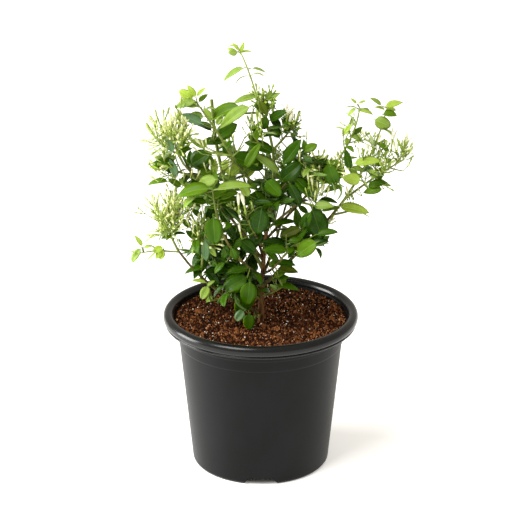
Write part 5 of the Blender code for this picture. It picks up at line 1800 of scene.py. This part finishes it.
class Shrub:
    """The whole plant: its wood, and all that its masses bear."""

    def __init__(self, pot: NurseryPot) -> None:
        """Places every limb and stem.

        Args:
            pot: The pot that the plant keeps clear of.
        """
        self.limbs = {"trunk": grow_limb(TRUNK, {}, 8)}
        for bough in BOUGHS:
            self.limbs[bough.name] = grow_limb(bough, self.limbs, 5)
        self.stems = {
            mass.name: grow_limb(mass, self.limbs, max(2, round(mass.length / 20))) for mass in MASSES
        }
        fine = [limb.fine(3 * MM) for limb in self.limbs.values()]
        lines = np.array([tuple(point) for limb in fine for point in limb.points])
        self.room = Room(lines, np.array([radius for limb in fine for radius in limb.radii]), pot)
        self.wood: dict[Wood, list[Grown]] = {wood: [] for wood in Wood}
        self.leaves = {tint: Sprigs() for tint in Tint}
        self.blooms = {stage: Sprigs() for stage in Stage}

    def add_twig(self, wood: Wood, points: Sequence[Vector], root_mm: float, tip_mm: float) -> None:
        """Adds a thin stem from its centre line and its radii in millimetres."""
        radii = [root_mm + (tip_mm - root_mm) * n / (len(points) - 1) for n in range(len(points))]
        self.wood[wood].append(Grown(list(points), [radius * MM for radius in radii]))

    def outline(
        self, root: Vector, toward: Vector, normal: Vector, length: float, form: Form
    ) -> list[Vector]:
        """The middle and margins of a leaf, for testing whether it fits."""
        side = toward.cross(normal).normalized()
        half = LEAF_SHAPES[form][0] * length / 2
        points = []
        right = [(0.3, 0.9), (0.55, 1), (0.8, 0.6)]
        left = [(along, -out) for along, out in reversed(right)]
        for along, out in [(0.12, 0), *right, (1, 0), *left]:
            lift = 0.1 * half * abs(out) - 0.1 * length * along**2
            points.append(root + toward * length * along + side * half * out + normal * lift)
        return points

    def settle(self, outline: list[Vector], test: bool) -> bool:
        """Keeps a leaf's place if it fits, and says whether it does.

        Args:
            outline: The middle and margins of the leaf.
            test: Whether it may be refused.
        """
        middle = (outline[0] + outline[4]) / 2
        reach = (outline[4] - outline[0]).length / 2 * 1.15
        ring = [outline[0].lerp(outline[4], 0.12), *outline[1:]]
        tree = BVHTree.FromPolygons([middle, *ring], [(0, 1 + n, 1 + (n + 1) % 8) for n in range(8)])
        points, room = [middle, *outline], self.room
        if test and (
            not room.free(points) or room.spoils_view(points) or room.crosses(middle, reach, tree)
        ):
            return False
        room.blades.append((middle, reach, tree))
        return True

    def stand(self, spot: Blade | Bloom, reach: float = 0) -> tuple[Vector, Vector, Vector]:
        """Finds where a placed leaf or bud stands, from its pixels and its own stem.

        Args:
            spot: What is placed.
            reach: How much further forward its tip is than its foot, in millimetres.

        Returns:
            The nearest point of its stem, its foot and its tip.
        """
        line = (self.stems.get(spot.carrier) or self.limbs[spot.carrier]).points
        foot = Vector(spot.foot)
        carrier = min(samples(line, MM), key=lambda p: (Vector(CAMERA.project(p)) - foot).length)
        root = CAMERA.lift(spot.foot, carrier.y - spot.forward * MM)
        return carrier, root, CAMERA.lift(spot.tip, root.y - reach * MM)

    def add_stalk(self, wood: Wood, carrier: Vector, root: Vector, root_mm: float, tip_mm: float) -> None:
        """Adds a hanging stalk from a stem to a foot, with its radii in millimetres."""
        middle = carrier.lerp(root, 0.5) - UP * 0.05 * (root - carrier).length
        self.add_twig(wood, smooth_line([carrier, middle, root], 3 * MM), root_mm, tip_mm)

    def place_blades(self) -> None:
        """Sets the leaves that are placed one by one, each on a stalk from its own stem."""
        draw = random.Random(21)
        for blade in BLADES:
            carrier, root, tip = self.stand(blade, blade.reach)
            toward, length = (tip - root).normalized(), (tip - root).length
            lean = radians(blade.face)
            normal = Vector((0, -sin(lean), cos(lean)))
            normal = (normal - toward * normal.dot(toward)).normalized()
            if (root - carrier).length > 0.8 * MM:
                self.add_stalk(Wood.GREEN, carrier, root, 0.6, 0.42)
            self.settle(self.outline(root, toward, normal, length, blade.form), False)
            self.room.show(root, tip, LEAF_SHAPES[blade.form][0])
            scale = (length * draw.uniform(0.92, 1.08), length, length)
            form = blade.form.value + (blade.bend or draw.randrange(2))
            self.leaves[blade.tint].add(root, toward, normal, scale, form)

    def place_blooms(self) -> None:
        """Sets the buds and open flowers that are placed one by one, each on a stalk from its own stem."""
        for number, bloom in enumerate(BLOOMS):
            carrier, root, tip = self.stand(bloom)
            toward, length = (tip - root).normalized(), (tip - root).length
            self.add_stalk(Wood.YOUNG, carrier, root, 0.5, 0.35)
            forms = len(FLOWER_OPENINGS if bloom.stage is OPEN else BUD_SHAPES)
            self.blooms[bloom.stage].add(root, toward, across(toward)[0], (length,) * 3, number % forms)

    def grow(self) -> None:
        """Grows the placed leaves and flowers and then every mass."""
        self.place_blades()
        self.place_blooms()
        for mass in MASSES:
            Sprout(self, mass).grow()


# A leaf that doesn't fit is tried at each scale and each swing round its twig, in degrees.
LEAF_SCALES = (1, 0.84)
LEAF_SWINGS = (0, 28, -28, 56, -56)
# A budded twig is shorter than a leafy one, and its leaves are smaller, as shares of the mass's own sizes.
BUDDED_REACH, BUDDED_LEAF, LEAFY_LEAF = 0.7, 0.62, 0.94
# Lengths of a ripe bud in millimetres, how many ripe buds are cream, and where a mass counts as ripe.
BUD_LENGTHS = (9, 14.5)
CREAM_SHARE = 0.72
RIPE_FROM = 0.4
# How far a cyme's side stalks lean, in degrees, and how much shorter each fork's stalks are than the last's.
FORK_LEANS = (26, 44)
FORK_SHRINK = 0.72
# Each side twig stands this many degrees round its stem from the last.
GOLDEN_ANGLE = 137.5


class Sprout:
    """Grows one mass by the rule: pairs of leaves, each turned from the last, side twigs, and cymes."""

    def __init__(self, shrub: Shrub, mass: Mass) -> None:
        """Starts a mass.

        Args:
            shrub: The plant that it belongs to.
            mass: Its sizes.
        """
        self.shrub = shrub
        self.mass = mass
        self.draw = random.Random(mass.name)

    def tint(self, share: float) -> Tint:
        """A tint for a leaf at this share of its stem: younger and lighter towards the tip."""
        order = list(Tint)
        drawn = sorted((self.draw.choice(self.mass.tints) for _ in range(2)), key=order.index)
        return drawn[0] if self.draw.random() < share else drawn[1]

    def leaf(self, root: Vector, along: Vector, turn: float, length: float, share: float) -> None:
        """One leaf at a node, swung or shortened until it fits, and else skipped.

        Args:
            root: The node.
            along: The twig's heading there.
            turn: How far round the twig it stands, in degrees.
            length: Its length in metres.
            share: How far along its twig it is.
        """
        mass, draw = self.mass, self.draw
        tint = self.tint(share)
        for scale in LEAF_SCALES:
            for swing in LEAF_SWINGS:
                out = around(along, turn + swing)
                spread = radians(mass.spread + draw.uniform(-8, 8))
                droop = radians(mass.droop + draw.uniform(-12, 12))
                toward = out * sin(spread) + along * cos(spread) - UP * tan(droop) * 0.6
                toward.normalize()
                normal = UP * 0.9 + Vector((root.x, root.y - 0.02, 0)).normalized() * 0.34
                normal += heading(draw.uniform(0, 360), draw.uniform(-30, 30)) * 0.62
                normal = (normal - toward * normal.dot(toward)).normalized()
                size = length * scale
                start = root + toward * 0.6 * MM
                outline = self.shrub.outline(start, toward, normal, size, mass.form)
                if self.shrub.settle(outline, True):
                    form = mass.form.value + draw.randrange(len(LEAF_BENDS))
                    wide = size * draw.uniform(0.88, 1.1)
                    self.shrub.leaves[tint].add(start, toward, normal, (wide, size, size), form)
                    return

    def pair(self, root: Vector, along: Vector, turn: float, length: float, share: float) -> None:
        """Two opposite leaves at a node."""
        for half in (0, 180):
            jitter = self.draw.uniform(-12, 12)
            self.leaf(root, along, turn + half + jitter, length * self.draw.uniform(0.85, 1.08), share)

    def bud(self, root: Vector, toward: Vector) -> None:
        """One bud at the end of its stalk."""
        ripeness = self.mass.ripeness
        length = self.draw.uniform(*BUD_LENGTHS) * MM * (0.56 + 0.44 * ripeness)
        plump = length * (1.8 - 0.6 * ripeness)
        if not self.shrub.room.free([root + toward * length]):
            return
        kind = self.shrub.blooms[CREAM if self.draw.random() < CREAM_SHARE * ripeness else GREEN]
        form = self.draw.randrange(len(BUD_SHAPES))
        kind.add(root, toward, across(toward)[0], (plump, length, plump), form)

    def cyme(self, root: Vector, along: Vector, forks: int, stalk: float, turn: float) -> None:
        """A cyme that forks in threes, each fork square to the last, with a bud on every end.

        Args:
            root: Where it starts.
            along: Its heading.
            forks: How often it forks.
            stalk: Length of its first stalks, in metres.
            turn: Which way its first fork opens, in degrees.
        """
        if not forks:
            self.bud(root, along)
            return
        out = around(along, turn + self.draw.uniform(-15, 15))
        for side in (-1, 0, 1):
            lean = radians(self.draw.uniform(*FORK_LEANS)) * side + radians(self.draw.uniform(-7, 7))
            toward = (along * cos(lean) + out * sin(lean) + UP * 0.24).normalized()
            tip = root + toward * (stalk * self.draw.uniform(0.8, 1.15) * (1 if side else 1.1))
            room = self.shrub.room
            if room.free([tip]) and not room.spoils_view([tip, tip + toward * 7 * MM]):
                middle = root.lerp(tip, 0.5) + toward * 0.1 * MM
                self.shrub.add_twig(Wood.YOUNG, [root, middle, tip], 0.42, 0.32)
                self.cyme(tip, toward, forks - 1, stalk * FORK_SHRINK, turn + 90)

    def twig(self, root: Vector, along: Vector, length: float, budded: bool) -> None:
        """A side twig with pairs of leaves, and a cyme or a smaller pair of leaves at its tip.

        Args:
            root: Where it starts.
            along: Its heading.
            length: Its length in metres.
            budded: Whether it ends in a cyme.
        """
        mass = self.mass
        rise = degrees(asin(max(-1, min(1, along.z))))
        azimuth = degrees(atan2(along.y, along.x))
        reach = length * (BUDDED_REACH if budded else 1)
        curl, swing = self.draw.uniform(6, 20), self.draw.uniform(-14, 14)
        line = centre_line(root, azimuth, rise, reach, curl, swing, 4)
        if not self.shrub.room.free(line[2:]):
            return
        ripe = mass.ripeness > RIPE_FROM
        self.shrub.add_twig(Wood.YOUNG if ripe or mass.wood is Wood.YOUNG else Wood.GREEN, line, 0.85, 0.5)
        turn = self.draw.uniform(0, 180)
        leaf = mass.leaf * MM * (BUDDED_LEAF if budded else LEAFY_LEAF)
        for number in range(mass.twig_pairs):
            share = 0.4 + 0.5 * number / max(1, mass.twig_pairs)
            self.pair(*share_point(line, share), turn + 90 * number, leaf * (1 - 0.2 * share), share)
        tip, toward = share_point(line, 0.995)
        if not budded:
            self.pair(tip, toward, turn + 90 * mass.twig_pairs, leaf * 0.7, 1)
            return
        for share in (0.5, 0.8) if ripe else (0.8,):
            node, ahead = share_point(line, share)
            for half in (0, 180):
                side = (ahead * 0.7 + around(toward, turn + half + 180 * share) * 0.7).normalized()
                self.cyme(node, side, 1, (4.2 + 1.3 * mass.ripeness) * MM, turn + half)
        self.cyme(tip, toward, min(2, mass.forks), (4.6 + 1.9 * mass.ripeness) * MM, turn)

    def grow(self) -> None:
        """Grows the stem, its pairs and its twigs."""
        mass, stem = self.mass, self.shrub.stems[self.mass.name]
        self.shrub.wood[mass.wood].append(rooted(mass, stem, self.shrub.limbs).fine(3 * MM, 16, 0.14))
        for number in range(mass.pairs):
            share = (number + 1) / mass.pairs * 0.96
            root, along = share_point(stem.points, share)
            self.pair(root, along, mass.turn + 90 * number, mass.leaf * MM * (1.1 - 0.3 * share), share)
        for number in range(mass.twigs):
            share = 0.3 + (0.3 if mass.leafy_tip else 0.66) * (number + 0.5) / mass.twigs
            root, along = share_point(stem.points, share)
            out = around(along, mass.turn + 45 + GOLDEN_ANGLE * number)
            length = mass.twig_length * MM * self.draw.uniform(0.85, 1.1)
            budded = number < mass.buds if mass.leafy_tip else number >= mass.twigs - mass.buds
            self.twig(root, (along * 0.66 + out * 0.75).normalized(), length, budded)
        if mass.buds and not mass.leafy_tip:
            root, along = share_point(stem.points, 0.99)
            self.cyme(root, along, min(2, mass.forks), 5 * MM, mass.turn)

# How much slimmer each wood's limbs are drawn than the CAD has them, and its bark's relief in millimetres.
BARK_LOOKS = {Wood.BARK: (0.82, 0.9), Wood.BROWN: (0.8, 0.5), Wood.GREEN: (0.86, 0.25)}
LIMB_SIDES, TWIG_SIDES = 16, 6


class Harvest:
    """Turns a grown shrub into the pieces that stand for its CAD nodes."""

    def __init__(self, shrub: Shrub) -> None:
        """Takes the shrub and makes the tree that its stems need."""
        self.shrub = shrub
        self.stems = make_stem_tree()

    def wood_piece(self, name: str, lines: list[Grown], wood: Wood, sides: int, nodes: Sequence[str]) -> None:
        """Makes one piece of stems.

        Args:
            name: The piece's name.
            lines: Centre lines with their radii.
            wood: Their finish.
            sides: How many sides they have.
            nodes: The CAD nodes that the piece stands for.
        """
        points, edges, girths = [], [], []
        for line in lines:
            first = len(points)
            points += line.points
            girths += [float(radius) for radius in line.radii]
            edges += [(n, n + 1) for n in range(first, len(points) - 1)]
        obj = mesh_object(make_mesh(name, points, edges=edges))
        store(obj.data, "girth", "FLOAT", girths)
        relief = BARK_LOOKS[wood][1] * MM if sides == LIMB_SIDES else 0.0
        finish = WOOD_FINISHES[wood].material()
        self.stems.run(obj, {"Sides": sides, "Relief": relief, "Grain": 420.0, "Finish": finish})
        hand_over(obj, nodes)

    def build(self) -> None:
        """Makes the wood, the leaves of each tint, the buds and the flowers."""
        shrub = self.shrub
        names = {Wood.BARK: "trunk_bark", Wood.BROWN: "boughs_brown", Wood.GREEN: "boughs_green"}
        for wood, name in names.items():
            own = [limb for limb in (TRUNK, *BOUGHS) if limb.wood is wood]
            lines = [rooted(limb, shrub.limbs[limb.name], shrub.limbs).fine(1.2 * MM) for limb in own]
            for line in lines:
                line.radii = [radius * BARK_LOOKS[wood][0] for radius in line.radii]
            self.wood_piece(name, lines, wood, LIMB_SIDES, [limb.name for limb in own])
        masses = [mass.name for mass in MASSES]
        self.wood_piece("twigs_green", shrub.wood[Wood.GREEN], Wood.GREEN, TWIG_SIDES, masses)
        self.wood_piece("twigs_young", shrub.wood[Wood.YOUNG], Wood.YOUNG, TWIG_SIDES, ())
        sprigs = make_sprig_tree()
        shapes = leaf_forms()
        for tint, leaves in shrub.leaves.items():
            leaves.piece(f"leaves_{tint.value}", sprigs, shapes, LEAF_FINISHES[tint].materials())
        clear_collection(shapes)
        buds, flowers = bud_forms(), flower_forms()
        for stage, name, shapes, finish, neck in (
            (CREAM, "buds_cream", buds, BUD_FINISH, TUBE_FINISH),
            (GREEN, "buds_green", buds, GREEN_BUD_FINISH, CALYX_FINISH),
            (WHITE, "buds_white", buds, PETAL_FINISH, TUBE_FINISH),
            (OPEN, "flowers", flowers, PETAL_FINISH, TUBE_FINISH),
        ):
            materials = [own.material() for own in (finish, CALYX_FINISH, neck)]
            shrub.blooms[stage].piece(name, sprigs, shapes, materials)
        clear_collection(buds)
        clear_collection(flowers)


@dataclass
class Studio:
    """A plain back-lit white floor under a soft sky, with a large lamp at the upper left and a small one low.

    Each lamp is its place in metres, its power in watts and its size in metres.
    """

    floor_side: float = 40.0
    world: float = 0.62
    glow: float = 0.42
    key: tuple[tuple[float, float, float], float, float] = ((-1.25, -1.3, 2.6), 78, 1.5)
    side: tuple[tuple[float, float, float], float, float] = ((-1.8, 0.1, 0.6), 42, 0.9)
    dark_radius: float = 61 * MM
    glow_radius: float = 73 * MM

    def build(self) -> None:
        """Makes the floor, the world and the lamps."""
        half = self.floor_side / 2
        corners = [(-half, -half, 0), (half, -half, 0), (half, half, 0), (-half, half, 0)]
        floor = mesh_object(make_mesh("floor", corners, [(0, 1, 2, 3)]))
        paint = bpy.data.materials.new("matt white floor")
        paint.use_nodes = True
        tree = paint.node_tree
        shader = tree.nodes["Principled BSDF"]
        shader.inputs["Base Color"].default_value = linear("fdfdfd")
        shader.inputs["Roughness"].default_value = 0.9
        shader.inputs["Specular IOR Level"].default_value = 0.1
        shader.inputs["Emission Color"].default_value = linear("fffdfa")
        # The floor glows to keep its cast shadows faint, and the glow fades out under the pot: a painted
        # shade round the foot.
        place = add_node(tree, "ShaderNodeTexCoord").outputs["Object"]
        reach = add_node(tree, "ShaderNodeVectorMath", {0: place}, operation="LENGTH").outputs["Value"]
        limits = {0: reach, 1: self.dark_radius, 2: self.glow_radius, 3: 0.0, 4: self.glow}
        glow = add_node(tree, "ShaderNodeMapRange", limits, interpolation_type="SMOOTHSTEP")
        tree.links.new(glow.outputs[0], shader.inputs["Emission Strength"])
        floor.data.materials.append(paint)
        world = bpy.data.worlds.new("studio")
        world.use_nodes = True
        sky = world.node_tree.nodes["Background"]
        sky.inputs["Color"].default_value = linear("fff9ec")
        sky.inputs["Strength"].default_value = self.world
        bpy.context.scene.world = world
        for name, (place, power, size) in {"key": self.key, "side": self.side}.items():
            data = bpy.data.lights.new(name, "AREA")
            data.energy, data.size = power, size
            lamp = link(bpy.data.objects.new(name, data))
            lamp.location = place
            lamp.rotation_euler = (Vector(CAMERA.target) - Vector(place)).to_track_quat("-Z", "Y").to_euler()
        bpy.context.scene.view_settings.view_transform = "Standard"


def main() -> None:
    """Builds the pot, the mix, the shrub and the studio, in that order."""
    logging.basicConfig(level=logging.INFO, format="%(message)s")
    pot = NurseryPot()
    pot.build()
    PottingMix(pot).build()
    shrub = Shrub(pot)
    shrub.grow()
    Harvest(shrub).build()
    Studio().build()
    CAMERA.build()


if __name__ == "__main__":
    main()
